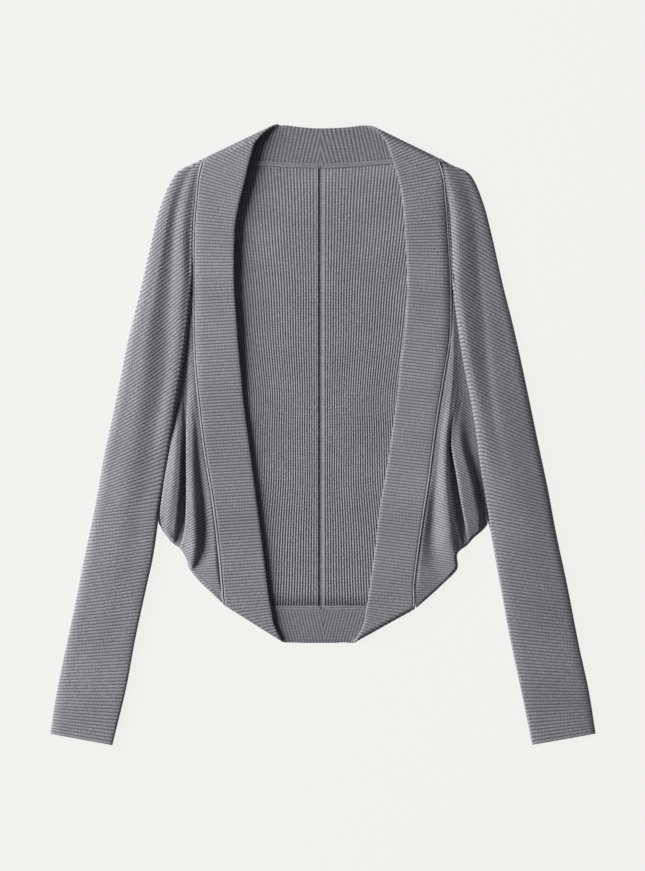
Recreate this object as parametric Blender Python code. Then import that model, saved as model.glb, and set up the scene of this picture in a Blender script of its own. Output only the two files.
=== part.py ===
"""Knitted shrug, laid flat on its back: an open-fronted dolman in a fine rib knit.

Each half is one piece of knit, worked sideways from cuff to cuff: its ribs ring the arm and come out
upright on the back. A doubled band runs round the whole opening. Laid flat, a half is folded over
itself, so it is made here as three walls that part along the hidden folds: the sleeve, the draped
front side and the half back. The band is one strip, turned over at the shoulder and at the hem.

Left and right are the wearer's. Sizes are in millimetres. A point has three measures: "out", from the
centre line towards a cuff, "up", towards the collar, and "high", above the table.
"""

from collections import namedtuple

import bmesh
import bpy
import numpy as np
from mathutils import Matrix

MM = 0.001
COLLECTION = "knitted_shrug"
SIDES = {"right": -1, "left": 1}

# The knit
KNIT = 2.0  # thickness of the single knit
BAND = 2.6  # thickness of the doubled band
SEAM_GAP = 0.4  # between pieces at a seam
RIB_SPACING = 7.0  # from rib to rib
RIB_RISE = 0.7  # how far a rib stands out of its wall
ALLOWANCE_RISE = 1.1  # the turned seam edge that shows inside the neck and hem
PLAIN_STATIONS = 4  # a wall's plain side keeps one station in this many

# The folds of the band
SHOULDER_ROLL = 3.6  # radius of the turn over the shoulder, at mid wall
HEM_ROLL = 2.6  # radius of the turn at the hem
RIM_ROLL = 2.2  # radius of the turn along the lower side
RIM_SHARE = 0.3  # that turn is at most this share of a rib's length

BandRow = namedtuple("BandRow", "free_out free_up seam_out seam_up free_high seam_high")
SleeveRow = namedtuple(
    "SleeveRow",
    "inner_out inner_up bow_out bow_up outer_out outer_up back_out back_up "
    "edge_high ridge_high valley_high crown_high curl tuck",
)
SideRow = namedtuple("SideRow", "seam_up bow_out bow_up end_out end_up")

# The band inside the neck, from the centre back to the shoulder fold: it lies on the table.
NECK_ROWS = {
    "right": [
        BandRow(1.9, 340.5, 1.9, 297.5, 1.3, 1.3),
        BandRow(28.5, 343.5, 38.5, 298.5, 1.3, 1.3),
        BandRow(44.0, 345.0, 74.5, 300.5, 1.3, 1.3),
        BandRow(54.5, 346.5, 134.0, 308.0, 1.3, 1.3),
    ],
    "left": [
        BandRow(-1.5, 340.5, -1.5, 297.5, 1.3, 1.3),
        BandRow(27.5, 343.0, 37.5, 299.0, 1.3, 1.3),
        BandRow(43.0, 345.0, 71.0, 302.0, 1.3, 1.3),
        BandRow(54.5, 346.5, 128.0, 308.5, 1.3, 1.3),
    ],
}
# The band down the front, from the shoulder fold to the hem fold: it lies over the back.
FRONT_ROWS = {
    "right": [
        BandRow(69.0, 339.5, 135.5, 307.5, 8.5, 8.5),
        BandRow(74.0, 326.0, 137.0, 297.0, 8.5, 8.5),
        BandRow(80.5, 308.0, 140.0, 283.0, 8.4, 8.4),
        BandRow(87.0, 284.0, 142.5, 267.0, 8.2, 8.3),
        BandRow(94.0, 253.5, 144.5, 247.0, 8.0, 8.2),
        BandRow(98.0, 222.5, 146.0, 221.5, 7.8, 8.0),
        BandRow(98.5, 171.0, 146.0, 167.5, 7.4, 8.0),
        BandRow(95.0, 116.0, 145.5, 115.0, 7.0, 8.0),
        BandRow(91.5, 74.5, 143.5, 72.0, 6.8, 8.2),
        BandRow(87.5, 33.0, 139.5, 33.0, 6.6, 8.4),
        BandRow(81.0, -16.0, 133.5, -17.5, 6.5, 8.6),
        BandRow(74.0, -70.0, 124.5, -70.0, 6.5, 8.6),
        BandRow(66.5, -128.0, 117.5, -129.5, 6.5, 7.6),
        BandRow(61.5, -168.5, 114.0, -165.0, 6.5, 6.8),
        BandRow(57.5, -196.0, 112.5, -177.5, 6.5, 6.5),
        BandRow(52.0, -228.0, 111.5, -188.0, 6.5, 6.5),
    ],
    "left": [
        BandRow(64.5, 341.5, 131.0, 307.0, 8.5, 8.5),
        BandRow(69.0, 331.0, 132.5, 296.5, 8.5, 8.5),
        BandRow(75.5, 316.0, 134.5, 285.0, 8.4, 8.4),
        BandRow(82.5, 295.0, 137.0, 272.0, 8.2, 8.3),
        BandRow(89.5, 262.0, 140.0, 250.0, 8.0, 8.2),
        BandRow(92.5, 222.5, 142.0, 218.0, 7.8, 8.0),
        BandRow(95.0, 171.0, 143.5, 168.5, 7.4, 8.0),
        BandRow(92.0, 116.0, 143.0, 116.0, 7.0, 8.0),
        BandRow(87.0, 78.0, 138.5, 76.5, 6.8, 8.4),
        BandRow(82.0, 31.0, 131.5, 31.0, 6.6, 8.8),
        BandRow(76.0, -10.5, 126.0, -12.0, 6.5, 9.0),
        BandRow(70.0, -50.0, 121.0, -50.0, 6.5, 9.0),
        BandRow(64.5, -81.0, 116.0, -81.0, 6.5, 8.4),
        BandRow(59.0, -128.0, 109.0, -129.5, 6.5, 7.6),
        BandRow(54.0, -163.0, 104.5, -162.0, 6.5, 6.8),
        BandRow(49.5, -193.0, 103.5, -178.0, 6.5, 6.5),
        BandRow(43.0, -228.5, 104.0, -191.5, 6.5, 6.5),
    ],
}
# The band inside the hem, from the hem fold to the centre back: it lies on the table.
HEM_ROWS = {
    "right": [
        BandRow(46.5, -231.5, 106.0, -191.5, 1.3, 1.3),
        BandRow(36.5, -233.0, 68.0, -191.5, 1.3, 1.3),
        BandRow(18.5, -233.5, 25.0, -191.5, 1.3, 1.3),
        BandRow(-2.4, -233.5, 0.9, -191.5, 1.3, 1.3),
    ],
    "left": [
        BandRow(37.5, -232.0, 98.0, -194.5, 1.3, 1.3),
        BandRow(29.5, -233.0, 62.0, -191.5, 1.3, 1.3),
        BandRow(17.5, -233.5, 27.5, -191.5, 1.3, 1.3),
        BandRow(2.9, -233.5, -0.4, -191.5, 1.3, 1.3),
    ],
}

# One row for each chosen rib of the sleeve, shoulder to cuff. A rib runs from its inner end, through
# its bow, round the outer fold and under to the back end. Its inner end lies on the band's seam down
# to the row where it starts to curl under; from the underarm both ends meet (tuck 1) in the seam.
SLEEVE_ROWS = {
    "right": [
        SleeveRow(136.0, 302.5, 140.0, 303.2, 144.5, 304.0, 133.5, 298.5, 7.0, 7.0, 6.8, 6.6, 0, 0),
        SleeveRow(138.5, 294.0, 150.5, 294.0, 165.0, 290.0, 135.0, 268.0, 8.3, 8.6, 7.8, 7.6, 0, 0),
        SleeveRow(141.5, 274.0, 158.5, 272.0, 179.5, 262.5, 138.5, 223.5, 8.2, 9.8, 7.6, 8.4, 0, 0),
        SleeveRow(144.5, 246.0, 164.0, 237.0, 193.0, 210.0, 144.0, 167.5, 8.2, 11.0, 7.4, 9.4, 0, 0),
        SleeveRow(146.0, 201.0, 173.0, 184.0, 205.5, 154.0, 150.5, 106.0, 8.2, 12.4, 8.0, 10.2, 0, 0),
        SleeveRow(148.5, 150.5, 180.0, 128.0, 220.0, 96.0, 158.5, 44.0, 9.4, 13.4, 8.8, 10.6, 1, 0),
        SleeveRow(155.5, 83.5, 188.5, 62.0, 232.5, 34.0, 166.5, -6.0, 12.0, 13.6, 9.8, 10.8, 1, 0),
        SleeveRow(166.5, 16.0, 201.0, -4.0, 246.0, -30.5, 174.0, -45.5, 12.4, 13.4, 10.8, 10.6, 1, 0),
        SleeveRow(176.5, -40.0, 209.0, -52.0, 252.5, -69.0, 180.0, -73.5, 12.4, 13.0, 11.2, 10.2, 1, 0),
        SleeveRow(184.0, -84.5, 215.5, -89.0, 258.0, -97.0, 183.5, -92.5, 11.4, 12.2, 11.0, 9.6, 1, 0.3),
        SleeveRow(185.5, -108.0, 221.0, -113.5, 263.0, -120.5, 185.5, -108.0, 10.2, 11.2, 10.4, 9.0, 1, 1),
        SleeveRow(190.5, -140.5, 227.0, -148.5, 270.5, -156.0, 190.5, -140.5, 8.4, 9.4, 9.0, 8.0, 1, 1),
        SleeveRow(196.5, -167.5, 234.5, -175.5, 275.5, -183.0, 196.5, -167.5, 7.2, 8.0, 7.8, 7.0, 1, 1),
        SleeveRow(210.0, -230.0, 248.0, -235.5, 287.5, -239.5, 210.0, -230.0, 6.2, 6.8, 6.8, 6.2, 1, 1),
        SleeveRow(220.0, -284.0, 258.0, -284.5, 297.0, -284.5, 220.0, -284.0, 6.0, 6.4, 6.4, 6.0, 1, 1),
        SleeveRow(235.5, -348.0, 269.5, -342.0, 305.0, -335.0, 235.5, -348.0, 5.8, 6.0, 6.0, 5.8, 1, 1),
    ],
    "left": [
        SleeveRow(131.7, 302.0, 136.0, 302.8, 140.5, 303.6, 129.5, 298.0, 7.0, 7.0, 6.8, 6.6, 0, 0),
        SleeveRow(134.0, 293.0, 146.0, 293.0, 163.5, 289.5, 131.0, 268.0, 8.3, 8.8, 7.8, 7.6, 0, 0),
        SleeveRow(137.0, 272.0, 154.0, 271.0, 177.5, 262.5, 134.5, 223.5, 8.2, 10.0, 7.6, 8.4, 0, 0),
        SleeveRow(140.5, 246.0, 160.5, 238.0, 190.5, 210.0, 140.5, 167.5, 8.2, 11.2, 7.2, 9.4, 0, 0),
        SleeveRow(143.0, 201.0, 169.5, 187.5, 204.0, 154.0, 149.0, 106.0, 8.2, 12.6, 7.6, 10.2, 0, 0),
        SleeveRow(150.5, 150.5, 181.0, 131.5, 218.5, 99.0, 158.5, 44.0, 10.0, 13.4, 8.2, 10.6, 1, 0),
        SleeveRow(160.0, 90.0, 192.0, 70.0, 231.5, 37.5, 167.5, -6.0, 12.4, 13.8, 9.4, 10.8, 1, 0),
        SleeveRow(170.0, 16.0, 204.5, -1.5, 245.0, -25.5, 174.5, -45.5, 12.6, 13.4, 10.8, 10.6, 1, 0),
        SleeveRow(177.5, -40.0, 210.0, -53.0, 254.0, -68.0, 180.0, -73.5, 12.4, 13.0, 11.2, 10.2, 1, 0),
        SleeveRow(185.0, -84.5, 218.0, -91.5, 259.0, -97.0, 184.5, -92.5, 11.4, 12.2, 11.0, 9.6, 1, 0.3),
        SleeveRow(188.5, -110.5, 223.5, -117.0, 264.0, -121.5, 188.5, -110.5, 10.2, 11.2, 10.4, 9.0, 1, 1),
        SleeveRow(194.0, -140.5, 229.0, -148.5, 271.5, -156.0, 194.0, -140.5, 8.4, 9.4, 9.0, 8.0, 1, 1),
        SleeveRow(199.0, -167.5, 238.0, -175.5, 277.0, -183.0, 199.0, -167.5, 7.2, 8.0, 7.8, 7.0, 1, 1),
        SleeveRow(210.5, -230.0, 249.0, -236.0, 288.0, -239.5, 210.5, -230.0, 6.2, 6.8, 6.8, 6.2, 1, 1),
        SleeveRow(222.0, -284.0, 260.5, -284.5, 298.0, -284.5, 222.0, -284.0, 6.0, 6.4, 6.4, 6.0, 1, 1),
        SleeveRow(235.0, -347.5, 269.5, -341.5, 306.0, -335.0, 235.0, -347.5, 5.8, 6.0, 6.0, 5.8, 1, 1),
    ],
}

FoldPoint = namedtuple("FoldPoint", "out up high")

# The folds that run down the draped front side, from the band's seam outwards. Each is a line of
# points from its top to the lower side: crests and lips stand up, floors lie deep between them.
FOLD_LINES = {
    "right": {
        "hollow": [
            FoldPoint(147.5, 118.0, 5.6),
            FoldPoint(145.5, 84.0, 5.8),
            FoldPoint(142.0, 40.0, 5.8),
            FoldPoint(136.5, -6.0, 5.8),
            FoldPoint(133.5, -59.0, 5.4),
            FoldPoint(130.0, -100.0, 4.8),
            FoldPoint(130.0, -124.0, 4.6),
            FoldPoint(134.0, -140.5, 4.8),
            FoldPoint(141.5, -155.0, 5.0),
        ],
        "front_crest": [
            FoldPoint(149.0, 110.0, 5.2),
            FoldPoint(148.0, 52.0, 6.5),
            FoldPoint(147.5, 16.0, 9.5),
            FoldPoint(147.5, -17.5, 12.0),
            FoldPoint(147.5, -64.5, 13.0),
            FoldPoint(148.5, -88.0, 13.0),
            FoldPoint(148.0, -111.5, 12.0),
            FoldPoint(147.5, -135.0, 9.5),
            FoldPoint(147.5, -149.5, 6.5),
        ],
        "front_lip": [
            FoldPoint(150.5, 100.0, 4.9),
            FoldPoint(150.5, 52.0, 5.8),
            FoldPoint(151.5, 16.0, 9.0),
            FoldPoint(152.0, -17.5, 11.5),
            FoldPoint(152.0, -73.5, 12.5),
            FoldPoint(152.5, -101.5, 11.5),
            FoldPoint(154.0, -118.0, 8.5),
            FoldPoint(156.0, -128.0, 6.0),
        ],
        "floor_front": [
            FoldPoint(152.0, 98.0, 4.7),
            FoldPoint(152.7, 52.0, 4.6),
            FoldPoint(153.7, 16.0, 4.2),
            FoldPoint(154.2, -17.5, 4.1),
            FoldPoint(154.7, -73.5, 4.1),
            FoldPoint(155.2, -101.5, 4.1),
            FoldPoint(158.0, -118.0, 4.1),
            FoldPoint(159.5, -126.0, 4.1),
        ],
        "floor_back": [
            FoldPoint(153.5, 96.0, 4.6),
            FoldPoint(156.0, 47.5, 4.4),
            FoldPoint(157.0, 16.0, 4.2),
            FoldPoint(158.5, -17.5, 4.1),
            FoldPoint(160.0, -62.0, 4.1),
            FoldPoint(161.8, -88.0, 4.1),
            FoldPoint(163.0, -107.0, 4.1),
            FoldPoint(163.0, -124.0, 4.1),
        ],
        "back_lip": [
            FoldPoint(155.0, 95.0, 4.5),
            FoldPoint(158.0, 43.0, 5.0),
            FoldPoint(158.7, 16.0, 8.5),
            FoldPoint(160.2, -17.5, 11.5),
            FoldPoint(162.5, -62.0, 12.5),
            FoldPoint(164.0, -88.0, 11.5),
            FoldPoint(166.0, -107.0, 8.5),
            FoldPoint(166.0, -121.5, 6.0),
        ],
        "back_crest": [
            FoldPoint(156.5, 94.0, 4.5),
            FoldPoint(159.5, 43.0, 5.2),
            FoldPoint(162.0, 16.0, 9.0),
            FoldPoint(165.5, -17.5, 12.0),
            FoldPoint(171.0, -62.0, 12.4),
            FoldPoint(172.5, -88.0, 11.0),
            FoldPoint(173.5, -107.0, 8.0),
        ],
        "back_rim": [
            FoldPoint(158.0, 93.0, 4.4),
            FoldPoint(161.0, 38.5, 5.0),
            FoldPoint(164.5, 12.0, 6.4),
            FoldPoint(169.5, -14.0, 7.4),
            FoldPoint(174.5, -51.0, 7.8),
            FoldPoint(177.0, -79.0, 7.2),
            FoldPoint(178.0, -94.0, 6.2),
        ],
    },
    "left": {
        "hollow": [
            FoldPoint(144.5, 106.0, 5.8),
            FoldPoint(139.5, 72.0, 6.4),
            FoldPoint(133.5, 33.0, 6.9),
            FoldPoint(128.0, -6.0, 6.9),
            FoldPoint(124.0, -51.0, 6.0),
            FoldPoint(122.0, -81.0, 5.0),
            FoldPoint(121.0, -107.0, 4.7),
            FoldPoint(122.0, -131.5, 4.8),
            FoldPoint(128.0, -154.0, 5.0),
        ],
        "front_crest": [
            FoldPoint(146.5, 100.0, 5.6),
            FoldPoint(142.0, 70.0, 7.0),
            FoldPoint(136.0, 27.5, 9.4),
            FoldPoint(132.0, -15.0, 11.5),
            FoldPoint(133.5, -51.0, 12.6),
            FoldPoint(135.0, -81.0, 12.8),
            FoldPoint(139.0, -107.0, 12.0),
            FoldPoint(145.0, -129.5, 9.5),
            FoldPoint(149.5, -145.0, 6.5),
        ],
        "front_lip": [
            FoldPoint(148.5, 94.5, 5.3),
            FoldPoint(145.0, 61.0, 7.0),
            FoldPoint(138.5, 25.0, 9.0),
            FoldPoint(139.0, -6.0, 10.5),
            FoldPoint(142.0, -43.0, 11.5),
            FoldPoint(144.5, -69.0, 11.8),
            FoldPoint(148.5, -93.5, 11.0),
            FoldPoint(152.0, -111.5, 8.2),
            FoldPoint(154.5, -124.0, 5.6),
        ],
        "floor_front": [
            FoldPoint(150.5, 92.5, 5.0),
            FoldPoint(148.0, 56.5, 6.8),
            FoldPoint(140.7, 18.5, 7.0),
            FoldPoint(143.0, -12.0, 4.8),
            FoldPoint(146.0, -43.0, 4.1),
            FoldPoint(149.0, -69.0, 4.1),
            FoldPoint(153.0, -93.5, 4.1),
            FoldPoint(156.5, -115.0, 4.1),
            FoldPoint(157.5, -124.0, 4.1),
        ],
        "floor_back": [
            FoldPoint(152.5, 90.0, 4.9),
            FoldPoint(150.5, 52.0, 6.6),
            FoldPoint(143.5, 18.5, 7.0),
            FoldPoint(146.0, -12.0, 4.8),
            FoldPoint(150.5, -43.0, 4.1),
            FoldPoint(154.0, -69.0, 4.1),
            FoldPoint(157.5, -93.5, 4.1),
            FoldPoint(160.5, -115.0, 4.1),
            FoldPoint(162.5, -124.0, 4.1),
        ],
        "back_lip": [
            FoldPoint(154.5, 88.0, 4.8),
            FoldPoint(153.0, 48.5, 6.4),
            FoldPoint(146.3, 20.5, 8.4),
            FoldPoint(148.5, -12.0, 11.0),
            FoldPoint(153.0, -43.0, 12.3),
            FoldPoint(156.5, -69.0, 12.3),
            FoldPoint(160.0, -93.5, 11.3),
            FoldPoint(163.0, -115.0, 8.5),
            FoldPoint(165.0, -120.5, 6.0),
        ],
        "back_crest": [
            FoldPoint(156.5, 85.5, 4.7),
            FoldPoint(155.5, 45.5, 6.0),
            FoldPoint(151.0, 16.0, 8.8),
            FoldPoint(154.0, -12.0, 11.6),
            FoldPoint(159.5, -43.0, 12.8),
            FoldPoint(164.0, -69.0, 12.4),
            FoldPoint(168.0, -93.5, 11.3),
            FoldPoint(171.0, -110.5, 8.0),
        ],
        "back_rim": [
            FoldPoint(158.5, 83.5, 4.6),
            FoldPoint(159.5, 45.5, 5.2),
            FoldPoint(161.0, 16.0, 6.2),
            FoldPoint(166.0, -9.5, 7.2),
            FoldPoint(171.0, -43.0, 7.8),
            FoldPoint(175.0, -69.0, 7.6),
            FoldPoint(178.5, -87.0, 6.8),
            FoldPoint(180.5, -98.0, 5.8),
        ],
    },
}

EdgePoint = namedtuple("EdgePoint", "out up high roll")

# The outer edge of the draped side: hidden under the sleeve (roll 0), then the lower side, where the
# knit turns under to the back (roll 1).
SIDE_EDGE = {
    "right": [
        EdgePoint(157.0, 128.0, 4.4, 0),
        EdgePoint(160.0, 92.0, 4.4, 0),
        EdgePoint(166.0, 38.5, 4.4, 0),
        EdgePoint(174.5, -17.5, 4.4, 0),
        EdgePoint(179.5, -51.0, 4.4, 0),
        EdgePoint(181.5, -79.0, 4.4, 0),
        EdgePoint(182.0, -96.0, 4.6, 0.3),
        EdgePoint(182.0, -106.0, 5.5, 1),
        EdgePoint(178.5, -111.0, 6.0, 1),
        EdgePoint(173.5, -114.5, 7.0, 1),
        EdgePoint(167.0, -122.5, 5.4, 1),
        EdgePoint(161.0, -125.0, 4.6, 1),
        EdgePoint(157.0, -129.0, 5.6, 1),
        EdgePoint(152.0, -141.0, 6.4, 1),
        EdgePoint(149.0, -151.0, 5.8, 1),
        EdgePoint(140.0, -162.5, 5.6, 1),
        EdgePoint(126.0, -176.5, 5.8, 1),
        EdgePoint(112.5, -187.5, 6.0, 1),
    ],
    "left": [
        EdgePoint(157.0, 122.0, 4.4, 0),
        EdgePoint(162.0, 92.0, 4.4, 0),
        EdgePoint(167.0, 38.5, 4.4, 0),
        EdgePoint(174.0, -6.0, 4.4, 0),
        EdgePoint(178.5, -45.5, 4.4, 0),
        EdgePoint(181.0, -69.0, 4.4, 0),
        EdgePoint(182.5, -87.0, 4.4, 0),
        EdgePoint(183.5, -97.0, 4.6, 0.3),
        EdgePoint(184.0, -106.5, 5.5, 1),
        EdgePoint(178.0, -110.5, 6.5, 1),
        EdgePoint(169.0, -115.0, 7.0, 1),
        EdgePoint(164.0, -122.0, 5.4, 1),
        EdgePoint(160.5, -125.0, 4.6, 1),
        EdgePoint(155.5, -127.5, 5.6, 1),
        EdgePoint(150.5, -133.0, 6.4, 1),
        EdgePoint(152.0, -145.0, 6.2, 1),
        EdgePoint(151.0, -151.0, 5.8, 1),
        EdgePoint(145.5, -157.5, 5.6, 1),
        EdgePoint(123.0, -177.5, 5.8, 1),
        EdgePoint(106.5, -190.5, 6.0, 1),
    ],
}
# Chosen ribs of the draped side: from the band's seam, through a bow, to the outer edge.
SIDE_ROWS = {
    "right": [
        SideRow(132.0, 150.0, 130.0, 157.0, 128.0),
        SideRow(111.5, 152.0, 106.0, 160.0, 97.0),
        SideRow(78.0, 153.0, 70.0, 164.0, 56.0),
        SideRow(44.0, 154.5, 33.0, 171.0, 8.0),
        SideRow(10.5, 155.0, -5.0, 177.5, -35.5),
        SideRow(-19.5, 154.0, -35.5, 181.0, -72.0),
        SideRow(-48.5, 150.5, -64.5, 182.0, -99.0),
        SideRow(-76.5, 145.0, -87.0, 174.5, -114.0),
        SideRow(-101.5, 139.5, -106.0, 165.5, -123.5),
        SideRow(-124.0, 134.0, -126.0, 153.5, -137.0),
        SideRow(-144.0, 130.5, -145.0, 149.5, -149.0),
        SideRow(-160.5, 127.0, -161.5, 140.0, -162.5),
        SideRow(-172.5, 120.5, -174.0, 128.0, -175.0),
        SideRow(-175.0, 117.5, -177.5, 122.0, -180.0),
        SideRow(-177.5, 114.3, -181.0, 116.0, -185.0),
    ],
    "left": [
        SideRow(128.0, 149.0, 126.0, 157.0, 122.0),
        SideRow(106.0, 151.0, 99.0, 161.0, 88.0),
        SideRow(72.0, 148.5, 63.0, 166.0, 45.0),
        SideRow(38.5, 148.5, 26.5, 173.0, 0.0),
        SideRow(7.5, 147.5, -7.5, 177.5, -38.0),
        SideRow(-23.0, 145.0, -38.5, 181.0, -66.0),
        SideRow(-52.0, 142.5, -68.0, 182.8, -89.0),
        SideRow(-79.0, 139.0, -91.5, 180.0, -109.5),
        SideRow(-107.0, 131.5, -113.0, 163.0, -123.5),
        SideRow(-129.5, 128.5, -131.0, 150.8, -135.0),
        SideRow(-147.5, 125.0, -148.0, 151.0, -150.5),
        SideRow(-164.0, 120.5, -164.0, 137.0, -165.3),
        SideRow(-175.5, 112.5, -177.0, 121.5, -178.8),
        SideRow(-178.0, 109.0, -181.0, 115.0, -184.0),
        SideRow(-180.5, 107.0, -184.5, 109.0, -188.5),
    ],
}

# The back: how its ribs close in towards the waist, and where its centre seam runs.
BackLevel = namedtuple("BackLevel", "up rib_share centre_out")
BACK_LEVELS = [
    BackLevel(-200.0, 0.84, 5.0),
    BackLevel(-140.0, 0.79, 4.4),
    BackLevel(-60.0, 0.70, 3.6),
    BackLevel(38.0, 0.68, 2.6),
    BackLevel(150.0, 0.80, 1.6),
    BackLevel(262.0, 0.97, 0.8),
    BackLevel(320.0, 1.04, 0.5),
]
ALLOWANCE_RIBS = 3  # stations of the turned seam edge beside the centre back, on the right half
HIDDEN_INSET = 4.6  # the back's edge lies this far inside the lower side
HEM_CORNER = (94.0, -191.5)  # where the back's lower edge ends, clear of the band's turn
LOWER_SIDE_END = -183.0  # below this the back's edge runs straight to that corner
ARM_CLEARANCE = 14.0  # the back leaves the armhole line this far above the lower side
RIB_POINTS = 7  # along each rib of the back
SHORTEST_RIB = 24  # in half millimetres

# The sleeve's edges
CURL_DEPTH = 4.0  # how far in an edge curls
SEAM_FLAT = 3.0  # the flat run beside the band's seam
UNDERARM_SLIT = 0.6  # half the slit of the underarm seam, at mid wall
OVER_SIDE_HIGH = 7.4  # the sleeve's curled edge clears the draped side
FOLD_DROP = 0.6  # the outer fold is this much lower than the sleeve's crown
TOP_SHARES = (0.0, 0.25, 0.55, 0.8)  # where along the top the edge, ridge, valley and crown lie
RIBBED_STEPS = slice(2, 9)  # from the top's start to the outermost point
FACE_DROPPED = (6, 11)  # steps that the outer skin does without
REVERSE_DROPPED = (3, 5, 7, 9, 11)  # and the plain inner skin
SHOULDER_STATIONS = 8  # stations of the shoulder that the plain side keeps too

# The draped side
SEAM_DROP = 0.4  # how far its edge sinks beside the band
RIM_WIDTH = 4.0  # from its last fold line to the hidden part
HIDDEN_HIGH = 4.2  # how high it lies under the sleeve
HIDDEN_REACH = 1.5  # how far it goes on under the sleeve
MIN_STEP = 0.8  # its fold lines are kept this far apart
PLAIN_FOLD_STEPS = (4, 5, 9, 10, 11, 12)  # steps with no ribs: the fold's floor and the hidden edge
CREST_STEPS = (2, 7, 8)  # steps that its plain side does without
TOP_STATIONS = 4  # stations with no ribs where it starts under the sleeve
LOWER_STATIONS = 8  # stations by the hem that its plain side keeps too

BAND_STEPS = (0.0, 0.5, 0.86, 0.89, 1.0)  # shares of the band's width
ALLOWANCE_STEP = 3  # from this step on, the band's seam edge is raised inside the neck and hem
ROLL_TURNS = (45.0, 90.0, 135.0)

KNIT_COLOUR = (0.205, 0.202, 0.222, 1.0)
BAND_COLOUR = (0.222, 0.219, 0.240, 1.0)


def smooth(rows, parts=12):
    """A dense run of rows on a smooth curve through the given ones."""
    given = np.array(rows, dtype=float)
    ends = np.vstack([2 * given[0] - given[1], given, 2 * given[-1] - given[-2]])
    share = np.linspace(0.0, 1.0, parts, endpoint=False)[:, None]
    runs = []
    for a, b, c, d in zip(ends, ends[1:], ends[2:], ends[3:]):
        bend = (2 * a - 5 * b + 4 * c - d) * share**2 + (3 * b - a - 3 * c + d) * share**3
        runs.append(0.5 * (2 * b + (c - a) * share + bend))
    return np.vstack(runs + [given[-1:]])


def columns(rows, kind, *names):
    """The named columns of an array of rows."""
    return rows[:, [kind._fields.index(name) for name in names]]


def spaced(rows, start, end):
    """Rows read off a dense run so that they lie evenly, square to the ribs between start and end."""
    middle = (start + end) / 2
    along_rib = end - start
    along_rib /= np.maximum(np.linalg.norm(along_rib, axis=1, keepdims=True), 1e-6)
    step = np.diff(middle, axis=0)
    rib = (along_rib[1:] + along_rib[:-1]) / 2
    square = np.abs(step[:, 0] * rib[:, 1] - step[:, 1] * rib[:, 0])
    travelled = np.concatenate([[0.0], np.cumsum(square)])
    count = 2 * max(1, round(travelled[-1] / RIB_SPACING)) + 1
    wanted = np.linspace(0.0, travelled[-1], count)
    return np.column_stack([np.interp(wanted, travelled, column) for column in rows.T])


def turned_left(vectors):
    """Unit vectors a quarter turn to the left of the given ones, in the plane."""
    turned = np.column_stack([-vectors[:, 1], vectors[:, 0]])
    return turned / np.linalg.norm(turned, axis=1, keepdims=True)


def blend(low, high, share):
    return low + (high - low) * share


def unit(vectors):
    return vectors / np.maximum(np.linalg.norm(vectors, axis=-1, keepdims=True), 1e-9)


def stitch(first, first_keys, second, second_keys):
    """Triangles between two runs of vertices whose keys grow together."""
    faces = []
    i = j = 0
    while i < len(first) - 1 or j < len(second) - 1:
        first_done = i == len(first) - 1
        second_done = j == len(second) - 1
        if not (first_done or second_done):
            first_done = first_keys[i] + first_keys[i + 1] > second_keys[j] + second_keys[j + 1]
        if first_done:
            faces.append((first[i], second[j + 1], second[j]))
            j += 1
        else:
            faces.append((first[i], first[i + 1], second[j]))
            i += 1
    return faces


def wall(name, side, middle, half, top, face, back, colour, upright=None):
    """A closed wall round a mid surface given as stations x steps x (out, up, high).

    The face is the skin that looks up at the station and step named by top; the back is the other.
    Each skin is a rise off the wall for every point and, for every step, the stations it keeps, or
    None where it drops the step. The upright step has its thickness straight up.
    """
    across = unit(np.cross(np.gradient(middle, axis=0), np.gradient(middle, axis=1)))
    across = across if across[top][2] > 0 else -across
    if upright is not None:
        across[:, upright] = (0.0, 0.0, 1.0)
    points = []
    runs = []
    for away, (rise, kept) in ((across, face), (-across, back)):
        skin = middle + away * (half + rise[..., None])
        skin_runs = []
        for step, stations in enumerate(kept):
            if stations is not None:
                vertices = range(len(points), len(points) + len(stations))
                skin_runs.append((step, stations, vertices))
                points.extend(skin[stations, step])
        runs.append(skin_runs)
    ring = runs[0] + runs[1][::-1]
    faces = []
    for (_, keys, vertices), (_, next_keys, next_vertices) in zip(ring, ring[1:] + ring[:1]):
        faces += stitch(vertices, keys, next_vertices, next_keys)
    for end in (0, -1):
        ends = [[(run[2][end], run[0]) for run in skin_runs] for skin_runs in runs]
        (face_end, face_keys), (back_end, back_keys) = [zip(*pairs) for pairs in ends]
        faces += stitch(face_end, face_keys, back_end, back_keys)
    placed = np.array(points)
    placed[:, 0] *= SIDES[side]
    placed[:, 2] = np.maximum(placed[:, 2], 0.0)
    return solid(f"{name}_{side}", placed * MM, faces, colour)


def solid(name, points, faces, colour):
    """A mesh object with its faces turned outwards and its own cloth material."""
    shell = bmesh.new()
    vertices = [shell.verts.new(point) for point in points]
    for face in faces:
        shell.faces.new([vertices[index] for index in face])
    bmesh.ops.recalc_face_normals(shell, faces=shell.faces)
    mesh = bpy.data.meshes.new(name)
    shell.to_mesh(mesh)
    shell.free()
    mesh.materials.append(cloth_material(name, colour))
    piece = bpy.data.objects.new(name, mesh)
    bpy.data.collections[COLLECTION].objects.link(piece)
    return piece


def cloth_material(name, colour):
    material = bpy.data.materials.new(f"{name}_knit")
    material.use_nodes = True
    shader = material.node_tree.nodes["Principled BSDF"]
    shader.inputs["Base Color"].default_value = colour
    shader.inputs["Roughness"].default_value = 0.95
    shader.inputs["Metallic"].default_value = 0.0
    return material


def plain_run(count, every):
    return sorted(set(range(0, count, every)) | {count - 1})


def ribs(count):
    """The rise of each station: low and high in turn, one rib to every two stations."""
    return (np.arange(count) % 2) * RIB_RISE


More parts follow.
